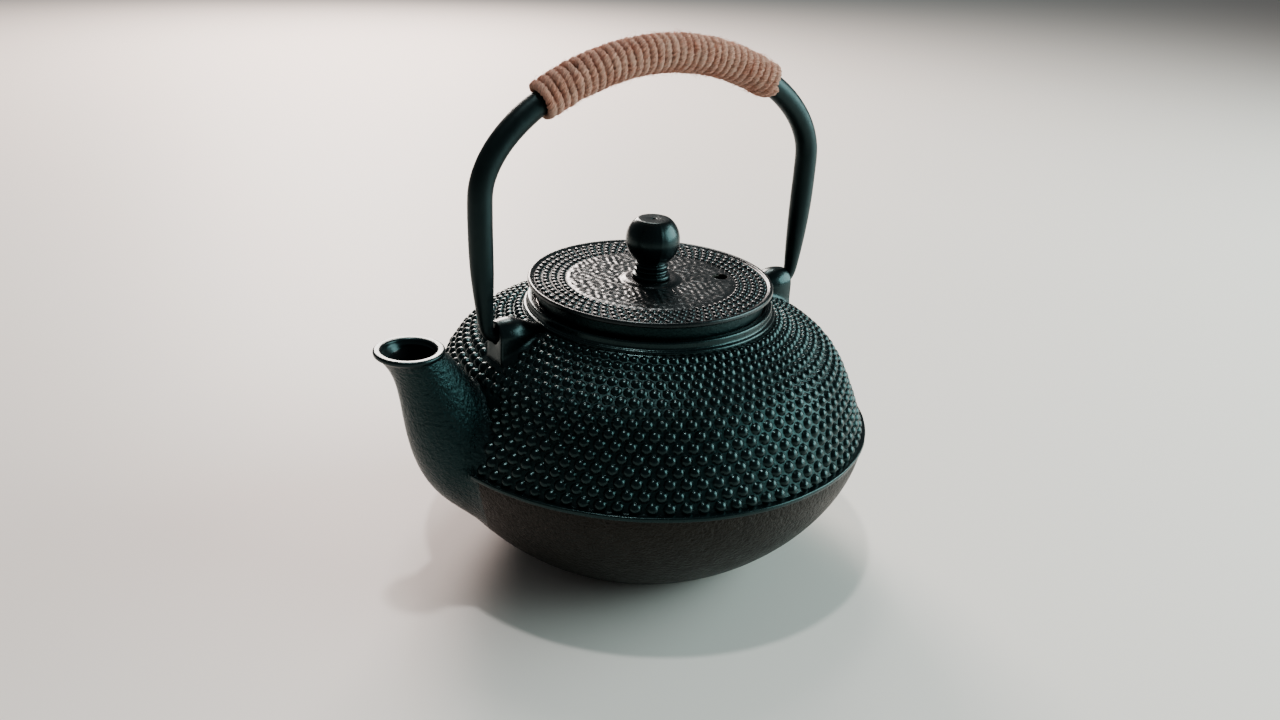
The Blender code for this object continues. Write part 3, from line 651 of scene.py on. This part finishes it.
def hookLugs():
    # half widths along X: a cosine tail from the collar, an ellipse to the flat face, then the socket
    g = SimpleNamespace(**lug)
    widest = g.face - g.bulgeBack
    faceRadius = g.radius * math.sqrt(1 - (g.bulgeBack / g.barrel) ** 2)
    back = np.linspace(1, 0, 26)
    tailX = widest + (g.root - widest) * back
    narrowing = 0.5 + 0.5 * np.cos(back * math.pi)
    tail = g.tailWidth + (g.radius - g.tailWidth) * narrowing
    tail[0] *= 0.75     # rounds off the end
    tailRise = g.tailHeight + (g.radius - g.tailHeight) * narrowing
    tailRise[0] *= 0.6
    frontX = np.linspace(widest + 0.4, g.face - g.edge, 8)
    front = g.radius * np.sqrt(1 - ((frontX - widest) / g.barrel) ** 2)
    bevel = np.linspace(0, math.pi / 2, 6)[1:]
    edgeX = g.face - g.edge * (1 - np.sin(bevel))
    edge = front[-1] - g.edge * (1 - np.cos(bevel))
    rings = lugSection(np.concatenate((tailX, frontX, edgeX)), np.concatenate((tail, front, edge)),
                       np.concatenate((tailRise, front, edge)))
    below = rings.shape[1] - g.above
    turn = np.concatenate((np.linspace(0, math.pi, g.above),
                           math.pi + np.linspace(0, math.pi, below + 2)[1:-1]))
    circle = np.stack((0 * turn, np.cos(turn), np.sin(turn)), -1)
    middle = np.array((0, 0, g.height))
    mouths = [middle + circle * r + (x, 0, 0) for r, x in
              ((g.socket + 0.5, g.face), (g.socket + 0.12, g.face - 0.12),
               (g.socket, g.face - 0.5), (g.socket, g.face - g.socketDepth),
               (0.0, g.face - g.socketDepth))]
    start = np.broadcast_to(rings[0].mean(0), rings[0].shape)
    right = np.concatenate((start[None], rings, np.stack(mouths)))
    left = right * (-1, 1, 1)
    quads = outwardQuads(right)
    faces = np.vstack((quads, quads[:, ::-1] + right.shape[0] * right.shape[1]))
    points = np.concatenate((right.reshape(-1, 3), left.reshape(-1, 3)))
    return addPiece("hookLugs", points, faces.tolist(), [iron["polishedIron"]])


stud = dict(rows=15, perRow=90, first=1.5, step=3.52, shrink=0.011, phase=0.5,
            foot=0.50, height=0.275, unevenness=0.05, sides=10,
            rings=((1.0, -0.14), (0.88, 0.10), (0.73, 0.48), (0.50, 0.84), (0.24, 0.98)))


def standOn(r, z, outwardR, outwardZ, perRow, shift):
    # places on rings round Z, with the directions along the ring, up the surface and out of it
    angle = fullTurn * (np.arange(perRow)[None] + shift[:, None]) / perRow
    c, s, one = np.cos(angle), np.sin(angle), np.ones((1, perRow))
    centre = np.stack((r[:, None] * c, r[:, None] * s, z[:, None] * one), -1)
    outward = np.stack((outwardR[:, None] * c, outwardR[:, None] * s, outwardZ[:, None] * one), -1)
    across = np.stack((-s, c, 0 * c), -1)
    return centre, across, np.cross(outward, across), outward


def domes(centre, across, upward, outward, radius, height, rings, sides):
    # every dome at once: rings of points in its own plane, lifted along its normal, with a top point
    turn = turnAngles(sides)
    ring = np.asarray(rings)
    flat = (np.cos(turn)[:, None] * across[:, None] + np.sin(turn)[:, None] * upward[:, None])
    reach = ring[:, 0][None, :, None, None] * radius[:, None, None, None]
    lift = ring[:, 1][None, :, None, None] * height[:, None, None, None]
    body = centre[:, None, None] + flat[:, None] * reach + outward[:, None, None] * lift
    tip = centre + outward * height[:, None]
    count, perDome = len(centre), len(ring) * sides + 1
    points = np.concatenate((body.reshape(count, -1, 3), tip[:, None]), axis=1)
    quads = gridQuads(len(ring), sides)
    side, topRing = np.arange(sides), (len(ring) - 1) * sides
    fan = np.stack((topRing + side, topRing + (side + 1) % sides, np.full(sides, perDome - 1)), 1)
    faces = [face for part in (quads[:, ::-1], fan, side[::-1][None]) for face in
             copyFaces(part, count, perDome)]
    return points.reshape(-1, 3), faces


def hobnails():
    # fifteen staggered rows up the shoulder, the same number in each
    d = SimpleNamespace(**stud)
    random = np.random.default_rng(15)
    upLine = shoulderLine[::-1]
    length = lengthAlong(upLine)
    normal = -sideways(shoulderLine)[::-1]
    row = np.arange(d.rows)
    place = d.first + d.step * row - d.shrink * row ** 2
    spacing = np.gradient(place)
    r, z, nr, nz = (np.interp(place, length, column) for column in (*upLine.T, *normal.T))
    neighbour = np.hypot(spacing, math.pi * r / d.perRow)
    frames = standOn(r, z, nr, nz, d.perRow, d.phase + 0.5 * (row % 2))
    shape = (d.rows, d.perRow)
    size = np.broadcast_to(neighbour[:, None], shape) * (1 + d.unevenness * 0.5 * random.normal(size=shape))
    rise = size * (1 + d.unevenness * random.normal(size=shape))
    keep = ~underSpout(frames[0]) & ~underLug(frames[0])
    points, faces = domes(*(a[keep] for a in frames), size[keep] * d.foot, rise[keep] * d.height,
                          d.rings, d.sides)
    print("studs:", int(keep.sum()))
    return addPiece("hobnails", points, faces, [iron["studdedIron"]], sharpAngle=75.0)


def underSpout(points):
    # studs that would stand in the spout's fillet
    t = np.linspace(0.0, 1.0, 60)[:, None]
    turn = turnAngles(60)[None]
    skin, _ = spoutPoints(t + 0 * turn, turn + 0 * t, spout["outer"])
    near = skin[(np.abs(potDistance(skin)) < 3.0)]
    gap = np.linalg.norm(points.reshape(-1, 1, 3) - near[None], axis=-1).min(1).reshape(points.shape[:-1])
    bearing = np.abs(np.arctan2(points[..., 1], -points[..., 0]))
    inside = (np.abs(points[..., 1]) < 15.0) & (points[..., 0] < 0) & (points[..., 2] < 68.0)
    return (gap < 1.6) | (inside & (bearing < math.radians(11.5)))


def underLug(points):
    # studs that would stand in a lug's foot
    g = SimpleNamespace(**lug)
    inward = np.clip((g.face - g.bulgeBack - np.abs(points[..., 0])) / (g.face - g.root), 0, 1)
    half = g.radius - (g.radius - g.tailWidth) * inward + 0.35 * g.flare
    return (np.abs(points[..., 0]) < g.face + 1.0) & (np.abs(points[..., 1]) < half)


lid = dict(
    radius=40.0, top=93.0, edge=1.4, lipWidth=1.6, field=92.4, discRadius=27.0, discRise=0.18,
    bossRadius=8.6, bossRise=0.95, ripple=2.5, rippleDepth=0.085, underside=89.0,
    rim=37.3, step=86.4, skirt=31.3, skirtDepth=9.0, skirtWall=2.4, boltHole=2.3,
    vent=(23.7, -20.7, 2.3), steps=360,
)
lidDomes = dict(rings=(28.75, 31.35, 34.0, 36.65), perRing=72, foot=1.22, height=0.58, phase=0.35, sides=10,
                dome=((1.0, -0.16), (0.92, 0.22), (0.78, 0.70), (0.52, 0.94), (0.25, 0.995)))


def castLid():
    # a closed profile turned round Z: boss, hammered disc, field, lip, step, skirt and underside
    v = SimpleNamespace(**lid)
    boss = v.field + v.bossRise
    bossTop = roundCorners([(v.boltHole, boss - 1), (v.boltHole + 0.05, boss), (v.bossRadius, boss),
                            (v.bossRadius + 1.5, v.field), (v.bossRadius + 2.6, v.field)],
                           (0.2, 0.9, 0.9), 7)
    disc = np.stack((np.arange(v.bossRadius + 2.8, v.discRadius + 0.9, 0.42),) * 2, 1)
    disc[:, 1] = v.field
    lip = v.radius - v.lipWidth
    edge = roundCorners([(v.discRadius + 1.2, v.field), (lip - 0.2, v.field), (lip + 0.35, v.top),
                         (v.radius - 0.15, v.top), (v.radius, v.top - v.edge),
                         (v.radius - 0.9, v.top - v.edge - 0.5), (v.rim, v.top - v.edge - 0.5),
                         (v.rim, v.step), (v.skirt, v.step),
                         (v.skirt, v.step - v.skirtDepth),
                         (v.skirt - v.skirtWall, v.step - v.skirtDepth),
                         (v.skirt - v.skirtWall, v.underside), (v.boltHole, v.underside)],
                        (0.5, 0.45, 0.6, 0.4, 0.4, 0.5, 0.4, 0.5, 0.8, 0.8, 1.2), 6)
    profile = np.vstack((bossTop[1:], disc, edge))
    points = turnedPoints(profile, v.steps)
    # hammered disc: ripples with flattened crests, fading at the boss and at the disc's edge
    r = np.hypot(points[..., 0], points[..., 1])
    onTop = (profile[:, 1] > v.field - 0.01)[:, None]
    area = smooth(r, v.bossRadius + 0.9, v.bossRadius + 2.2) * (1 - smooth(r, v.discRadius - 0.6,
                                                                             v.discRadius + 0.3)) * onTop
    crest = np.tanh(1.5 * waves(points[..., :2], v.ripple, 90, 7, 0.30))
    points[..., 2] += area * (v.discRise + v.rippleDepth * crest)
    slots = np.zeros(len(profile), int)
    slots[len(bossTop) + len(disc) + 34:] = 2
    slots[len(bossTop) + len(disc) + 55:] = 1
    piece = addGrid("castLid", points, [iron["hammeredIron"], iron["roughCastIron"], iron["shoulderIron"]],
                    closeRows=True, rowSlots=slots)
    distance, degrees, radius = v.vent
    x, y = distance * math.cos(math.radians(degrees)), distance * math.sin(math.radians(degrees))
    plug = roundCorners([(0, v.underside - 3), (radius, v.underside - 3), (radius, v.field - 0.45),
                         (radius + 0.55, v.field + 0.75), (0, v.field + 0.75)], (0.1, 0.5, 0.05), 4)
    cutter = addGrid("ventCutter", turnedPoints(plug[::-1], 40) + (x, y, 0), [iron["roughCastIron"]])
    cutAway(piece, cutter)
    return piece


def lidBosses():
    # four staggered rings of small domes round the hammered disc
    d = SimpleNamespace(**lidDomes)
    r = np.asarray(d.rings)
    flat = 0 * r
    shift = d.phase + 0.5 * (np.arange(len(r)) % 2)
    frames = standOn(r, flat + lid["field"], flat, flat + 1, d.perRing, shift)
    size = np.repeat(r / r[-1], d.perRing) * 0.5 + 0.5
    points, faces = domes(*(a.reshape(-1, 3) for a in frames), size * d.foot, size * d.height,
                          d.dome, d.sides)
    return addPiece("lidBosses", points, faces, [iron["hammeredIron"]], sharpAngle=75.0)


knob = dict(foot=93.7, ballHeight=106.2, ball=8.75, facet=5.3, neck=4.6, ring=5.5, footRadius=6.2,
            pin=0.75, pinDepth=4.0, bore=2.3, boreDepth=8.5,
            seamAt=math.radians(74.6), seamHeight=0.09, steps=180)


def ballKnob():
    # pin hole, facet, ball, two neck rings and a flared foot, then the screw's bore
    k = SimpleNamespace(**knob)
    facetAngle, neckAngle = math.acos(k.facet / k.ball), -math.acos(k.neck / k.ball)
    arc = np.linspace(facetAngle, neckAngle, 44)
    ball = np.stack((k.ball * np.cos(arc), k.ballHeight + k.ball * np.sin(arc)), 1)
    top = ball[0, 1]
    facet = roundCorners([(k.pin, top - 1.0), (k.pin + 0.02, top - 0.12), (k.facet - 0.1, top - 0.02),
                          ball[2]], (0.25, 0.5), 5)
    low, high = k.foot, ball[-1, 1]
    part = (high - low) / 5.2
    waist = k.neck
    turnings = roundCorners([ball[-2], (waist, high - 0.15 * part), (k.ring, low + 4.35 * part),
                             (k.ring, low + 3.7 * part), (waist + 0.05, low + 3.25 * part),
                             (k.ring + 0.1, low + 2.8 * part), (k.ring + 0.1, low + 2.1 * part),
                             (waist + 0.35, low + 1.55 * part), (k.footRadius, low + 0.95 * part),
                             (k.footRadius, low), (k.bore, low)],
                            (0.35, 0.4, 0.4, 0.3, 0.4, 0.4, 0.4, 0.4, 0.15), 6)
    hole = [(k.bore + 0.01, low + k.boreDepth), (0.0, low + k.boreDepth)]
    pin = [(0.0, top - k.pinDepth), (k.pin, top - k.pinDepth)]
    profile = np.vstack((pin, facet[:-1], ball[3:-2], turnings, hole))
    points = turnedPoints(profile, k.steps)
    angle = turnAngles(k.steps)
    away = np.minimum(np.abs(angle - k.seamAt), np.abs(angle - k.seamAt - math.pi))
    ridge = k.seamHeight * np.exp(-(away * k.ball / 0.45) ** 2) * smooth(profile[:, 0], 2.0, 4.5)[:, None]
    points[..., :2] *= (1 + ridge / np.maximum(profile[:, :1], 1.0))[..., None]
    return addGrid("ballKnob", points, [iron["polishedIron"]])


bail = dict(
    lugFace=57.2, hookDepth=7.0, height=83.0, bend=3.6, legFoot=60.0, halfWidth=62.0,
    springing=127.5, rise=37.8, power=1.85, bar=3.7, hook=2.0, taper=30.0, around=40,
)


def bailHalf():
    # from the hook's end in its lug, round the bend, up the leg and over half the arch
    b = SimpleNamespace(**bail)
    hook = np.array([(b.lugFace - b.hookDepth, b.height), (b.legFoot - b.bend, b.height)])
    turn = np.linspace(-math.pi / 2, 0, 24)
    bend = np.stack((b.legFoot - b.bend + b.bend * np.cos(turn),
                     b.height + b.bend + b.bend * np.sin(turn)), 1)
    foot = b.height + b.bend
    share = np.linspace(0, 1, 60)
    leg = np.stack((b.legFoot + (b.halfWidth - b.legFoot) * np.sin(share * math.pi / 2),
                    foot + (b.springing - foot) * share), 1)
    angle = np.linspace(0, math.pi / 2, 600)
    arch = np.stack((b.halfWidth * np.cos(angle) ** (2 / b.power),
                     b.springing + b.rise * np.sin(angle) ** (2 / b.power)), 1)
    return np.vstack((hook, bend[1:], leg[1:], arch[1:]))


def bailLine(step):
    # the half and its mirror image as one even line, smoothed by running means
    half = bailHalf()
    whole = np.vstack((half * (-1, 1), half[::-1][1:]))
    line = evenly(whole, step)
    soft = line.copy()
    for _ in range(6):      # evens out the joins between the curves
        soft[1:-1] = (soft[:-2] + 2 * soft[1:-1] + soft[2:]) / 4
    return soft


def bailBar():
    # circles along the handle's line that grow up the leg from the hook's radius to the bar's
    b = SimpleNamespace(**bail)
    line = bailLine(0.9)
    grown = np.clip((line[:, 1] - b.height - b.bend / 2) / b.taper, 0, 1)
    radii = b.hook + (b.bar - b.hook) * np.sin(grown * math.pi / 2)
    length = lengthAlong(line)
    fromEnd = np.minimum(length, length[-1] - length)
    radii *= np.sqrt(np.clip(1 - (1 - np.clip(fromEnd / 0.8, 0, 1)) ** 2, 0, 1))   # rounded tips
    places = np.stack((line[:, 0], 0 * line[:, 0], line[:, 1]), 1)
    radii = radii * (1 + 0.006 * waves(places, 16.0, 12, 3))     # forged, not drawn
    radii[[0, -1]] = 0.0
    points = inSpace(line[:, None], tangents(line)[:, None], turnAngles(b.around), radii[:, None])
    return addGrid("bailBar", points, [iron["handleIron"]])


twine = dict(halfSpan=43.6, turns=34.6, thick=1.14, wide=1.52, seat=3.72, plies=3, plyDepth=0.36,
             plyPitch=4.4, perTurn=84, around=22, wobble=0.16, strand=0.055, hairs=3400,
             hairLength=(1.2, 4.6), hairRadius=0.050)


def gripFrame(places):
    # the bar's line within the grip, with its direction and upward normal, at shares of the grip's length
    line = bailLine(0.5)
    grip = line[(np.abs(line[:, 0]) < twine["halfSpan"]) & (line[:, 1] > bail["springing"])]
    total = lengthAlong(grip)[-1]
    centre = atLength(grip, places * total)
    ahead, behind = atLength(grip, places * total + 0.4), atLength(grip, places * total - 0.4)
    return centre, unit(ahead - behind), total


def twineCentre(u):
    # a helix on the bar with a little slack in pitch and reach
    w = SimpleNamespace(**twine)
    angle = fullTurn * w.turns * u + 0.9
    line = u[:, None]
    loose = 0.010 * waves(line, 0.035, 14, 21) / 3
    centre, along, total = gripFrame(np.clip(0.004 + 0.992 * u + loose * 0.25, 0, 1))
    reach = w.seat + w.thick + w.wobble * 0.5 * (1 + np.tanh(waves(line, 0.016, 16, 22)))
    ends = np.minimum(u, 1 - u) * w.turns
    reach = reach - 1.35 * (1 - np.clip(ends / 0.5, 0, 1))
    return inSpace(centre, along, angle, reach), angle


def juteWinding():
    # the twine's own surface: a flattened three-ply section carried along the helix
    w = SimpleNamespace(**twine)
    count = int(w.turns * w.perTurn)
    u = np.linspace(0, 1, count)
    centre, angle = twineCentre(u)
    length = lengthAlong(centre)
    forward = tangents(centre)
    barCentre, along, _ = gripFrame(u)
    outward = centre - inSpace(barCentre, along, angle, 0 * angle)
    outward = unit(outward - (outward * forward).sum(1, keepdims=True) * forward)
    side = np.cross(forward, outward)
    around = turnAngles(w.around) + math.pi     # joins on the bar's side
    laid = around[None] - fullTurn * length[:, None] / w.plyPitch
    ply = 1.04 - w.plyDepth * (1 - np.abs(np.cos(w.plies * laid / 2)) ** 0.8)
    drift = length[:, None] / 6.0
    ply = ply + w.strand * (np.cos(8 * laid + np.sin(drift)) + np.cos(5 * laid - 1.7 * drift))
    uneven = 1 + 0.07 * waves(length[:, None], 9.0, 20, 31)[:, None]
    taper = np.clip(np.minimum(length, length[-1] - length) / 1.2, 0, 1)[:, None] ** 0.5
    high = w.thick * ply * uneven * taper
    broad = w.wide * ply * uneven * taper
    points = (centre[:, None] + (high * np.cos(around))[..., None] * outward[:, None]
              + (broad * np.sin(around))[..., None] * side[:, None])
    rows, columns = points.shape[:2]
    quads = gridQuads(rows, columns)
    uv = cellUv(length / w.plyPitch * 2, columns)
    if signedVolume(points.reshape(-1, 3), quads) < 0:
        quads, uv = quads[:, ::-1], uv[:, ::-1]
    print("twine: %.2f m in %.1f turns" % (length[-1] * mm, w.turns))
    return addPiece("juteWinding", points, quads.tolist(), [jute], sharpAngle=80.0, uv=uv)


def juteHairs():
    # loose fibres: thin curved three-sided tubes that stand off the winding
    w = SimpleNamespace(**twine)
    random = np.random.default_rng(52)
    count = w.hairs
    places = random.uniform(0.035, 0.965, count)
    angle = random.uniform(0, fullTurn, count)
    centre, along, _ = gripFrame(places)
    start = inSpace(centre, along, angle, w.seat + 2 * w.thick - 0.25)
    up = unit(start - inSpace(centre, along, angle, 0 * angle))
    wayX = np.stack((along[:, 0], 0 * angle, along[:, 1]), 1)
    around = np.cross(wayX, up)
    long = random.uniform(*w.hairLength, count)
    drift = random.normal(size=(count, 2)) * 0.8
    t = np.linspace(0, 1, 6)
    flat = drift[:, :1] * around + 0.6 * drift[:, 1:] * wayX
    rise = (t * (1.2 - 0.75 * t))[None, :, None] * random.choice((0.10, 0.42), (count, 1, 1), p=(0.55, 0.45))
    curl = (0.18 * random.normal(size=(count, 1, 1)) * np.sin(math.pi * t)[None, :, None])
    spreadOut = flat[:, None] * (t ** 1.2)[None, :, None] * 0.55
    line = start[:, None] + long[:, None, None] * (up[:, None] * rise + spreadOut + wayX[:, None] * curl)
    thin = w.hairRadius * np.linspace(1.0, 0.35, len(t))
    turn = turnAngles(3)[None, None, :, None]
    ring = np.cos(turn) * up[:, None, None] + np.sin(turn) * wayX[:, None, None]
    points = line[:, :, None] + ring * thin[None, :, None, None]
    perHair = len(t) * 3
    quads = gridQuads(len(t), 3)
    # a hair whose ring runs against its own direction is turned, so that every face points outwards
    solid = points.reshape(count, -1, 3)
    corner = (solid - solid.mean(1, keepdims=True))[:, quads]
    diagonals = np.cross(corner[:, :, 2] - corner[:, :, 0], corner[:, :, 3] - corner[:, :, 1])
    against = (corner.mean(2) * diagonals).sum((1, 2)) < 0
    points[against] = points[against][:, :, ::-1]
    ends = np.array([[0, 1, 2], [perHair - 1, perHair - 2, perHair - 3]])
    faces = copyFaces(quads, count, perHair) + copyFaces(ends, count, perHair)
    uv = np.zeros((sum(len(f) for f in faces), 2))
    uv[:, 0] = np.linspace(0, 300, len(uv))
    return addPiece("juteHairs", points, faces, [jute], uv=uv)


basket = dict(rimOut=37.3, rimLow=85.3, rimHigh=86.1, outer=33.0, sheet=0.5, rimDrop=4.0, bottom=45.3,
              flange=5.0, screen=32.2, screenWall=0.4, steps=144)


def infuser():
    # closed profiles turned round Z: flanged rim, foot ring, screen wall and screen floor
    b = SimpleNamespace(**basket)
    inner = b.outer - b.sheet
    rim = roundCorners([(inner, b.rimLow - b.rimDrop), (inner, b.rimHigh), (b.rimOut, b.rimHigh),
                        (b.rimOut, b.rimLow), (b.outer, b.rimLow), (b.outer, b.rimLow - b.rimDrop)],
                       (0.5, 0.35, 0.35, 0.3), 5)
    foot = roundCorners([(inner, b.bottom + b.rimDrop), (b.outer, b.bottom + b.rimDrop),
                         (b.outer, b.bottom), (b.outer - b.flange, b.bottom),
                         (b.outer - b.flange, b.bottom + b.sheet), (inner, b.bottom + b.sheet)],
                        (0.15, 0.6, 0.15, 0.15), 5)
    pieces = [addGrid("basketRim", turnedPoints(rim, b.steps), [steel], closeRows=True),
              addGrid("basketFootRing", turnedPoints(foot, b.steps), [steel], closeRows=True)]
    low, high = b.bottom + b.sheet + 0.3 + b.screenWall + 0.3, b.rimLow
    heights = np.linspace(high, low, 20)
    outside = np.stack((np.full(20, b.screen), heights), 1)
    inside = np.stack((np.full(20, b.screen - b.screenWall), heights[::-1]), 1)
    wall = np.vstack((outside, inside, outside[:1]))
    holes = round(fullTurn * b.screen / screenLook["pitch"])
    # UV in units of the hole pitch: round the wall by length, and up it by height
    uv = cellUv(wall[:, 1] / screenLook["pitch"], b.steps, holes)[..., ::-1]
    points = turnedPoints(wall, b.steps)
    pieces.append(addPiece("basketWall", points, gridQuads(len(wall), b.steps).tolist(), [screen], uv=uv))
    base = b.bottom + b.sheet + 0.3
    radii = np.linspace(0, b.screen, 16)
    disc = np.vstack((np.stack((radii, np.full(16, base + b.screenWall)), 1),
                      np.stack((radii[::-1], np.full(16, base)), 1)))
    points = turnedPoints(disc, b.steps)
    quads = gridQuads(len(disc), b.steps)
    flat = points.reshape(-1, 3)[:, :2] / screenLook["pitch"]
    pieces.append(addPiece("basketFloor", points, quads.tolist(), [screen], uv=flat[quads.ravel()]))
    return pieces


body = castBody()
cutAway(body, boreCutter())
spoutPiece = pouringSpout()
lugPiece = hookLugs()
studPiece = hobnails()
print("casting made")
lidPiece = castLid()
domePiece = lidBosses()
knobPiece = ballKnob()
print("lid made")
barPiece = bailBar()
windingPiece = juteWinding()
hairPiece = juteHairs()
print("handle made")
basketPieces = infuser()
print("basket made")

rides = [
    # piece, body, finish slot, the CAD node it stands for
    *((piece, "pot", "cast_iron", "pot_body") for piece in (body, spoutPiece, lugPiece, studPiece)),
    *((piece, "cover", "cast_iron", "lid") for piece in (lidPiece, domePiece)),
    (knobPiece, "cover", "knob_iron", "lid_knob"),
    (barPiece, "bail", "handle_iron", "handle_bar"),
    *((piece, "bail", "twine", "twine_wrap") for piece in (windingPiece, hairPiece)),
    (basketPieces[0], "basket", "steel", "infuser_rim"),
    (basketPieces[1], "basket", "steel", "infuser_foot_ring"),
    (basketPieces[2], "basket", "screen", "infuser_wall"),
    (basketPieces[3], "basket", "screen", "infuser_floor"),
]
for piece, bodyName, slotName, nodeName in rides:
    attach(piece, bodyName)
    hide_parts(nodeName)

for nodeName in ("knob_screw", "knob_washer"):
    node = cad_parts[nodeName]
    node.data.materials.clear()
    node.data.materials.append(steel)


stage = dict(floorTone=(0.80, 0.75, 0.71), reach=4.0, skyTone=(0.85, 0.90, 0.92), skyStrength=0.16)
lights = [
    # name, where it stands, what it faces, width and height, watts, colour
    ("windowLight", (0.86, -0.50, 0.44), (0.0, 0.0, 0.06), (1.05, 0.70), 15.0, (0.74, 0.96, 0.95)),
    ("wallLight", (0.32, 1.07, 0.54), (0.0, 0.0, 0.09), (0.39, 0.56), 13.5, (1.0, 0.86, 0.80)),
    ("highLight", (0.35, 0.60, 1.00), (0.0, 0.0, 0.05), (0.30, 0.30), 3.2, (1.0, 0.95, 0.92)),
    ("sparkLight", (-0.10, 0.02, 1.15), (0.0, 0.0, 0.06), (0.06, 0.06), 3.4, (1.0, 1.0, 1.0)),
]


def pointAt(thing, target):
    # turns a lamp or camera so that its -Z axis looks at the target
    way = np.asarray(target, float) - np.array(thing.location)
    yaw = math.atan2(way[1], way[0])
    pitch = math.atan2(way[2], math.hypot(way[0], way[1]))
    thing.rotation_euler = (math.pi / 2 + pitch, 0.0, yaw - math.pi / 2)


def makeStage():
    reach = stage["reach"] / mm
    corners = np.array([(-reach, -reach, 0), (reach, -reach, 0), (reach, reach, 0), (-reach, reach, 0)])
    finish, tree, shader = newFinish("floorPaint")
    place = objectPlace(tree)
    soft = noise(tree, place, 3.0, 2.0)
    tone = stage["floorTone"]
    setInputs(tree, shader, {"Base Color": blendColours(tree, soft, tuple(0.985 * t for t in tone), tone),
                             "Roughness": 0.55})
    floor = addPiece("floor", corners, [[0, 1, 2, 3]], [finish])
    for name, where, target, size, watts, colour in lights:
        lamp = bpy.data.lights.new(name, "AREA")
        lamp.shape = "RECTANGLE"
        lamp.size, lamp.size_y = size
        lamp.energy = watts
        lamp.color = colour
        holder = addObject(name, lamp)
        holder.location = where
        pointAt(holder, target)
    world = bpy.data.worlds.new("studio")
    world.use_nodes = True
    background = world.node_tree.nodes["Background"]
    sky = {"Color": (*stage["skyTone"], 1), "Strength": stage["skyStrength"]}
    setInputs(world.node_tree, background, sky)
    bpy.context.scene.world = world
    bpy.context.scene.view_settings.look = "AgX - Medium High Contrast"


view = dict(azimuth=-35.45, elevation=24.04, roll=3.29, yaw=-0.27, pitch=0.45, distance=0.4199, height=0.060,
            lens=35.13, sensor=36.0)


def makeCamera():
    # looks at the axis from the given angles and distance; a small yaw, pitch and roll as in the hand
    data = bpy.data.cameras.new("camera")
    data.sensor_width = view["sensor"]
    data.lens = view["lens"]
    data.clip_start = 0.01
    data.clip_end = 50.0
    camera = addObject("camera", data)
    azimuth, elevation, roll, yaw, pitch = (math.radians(view[angle]) for angle in
                                            ("azimuth", "elevation", "roll", "yaw", "pitch"))
    back = np.array((math.sin(azimuth) * math.cos(elevation), -math.cos(azimuth) * math.cos(elevation),
                     math.sin(elevation)))
    right = unit(np.cross(-back, (0, 0, 1)))
    up = np.cross(right, -back)
    forward = unit(-back + math.tan(yaw) * right + math.tan(pitch) * up)
    right = unit(np.cross(forward, up))
    up = np.cross(right, forward)
    across = right * math.cos(roll) + up * math.sin(roll)
    upright = -right * math.sin(roll) + up * math.cos(roll)
    matrix = np.eye(4)
    matrix[:3, 0], matrix[:3, 1], matrix[:3, 2] = across, upright, -forward
    matrix[:3, 3] = np.array((0, 0, view["height"])) + back * view["distance"]
    camera.matrix_world = Matrix(matrix.tolist())
    bpy.context.scene.camera = camera


makeStage()
makeCamera()
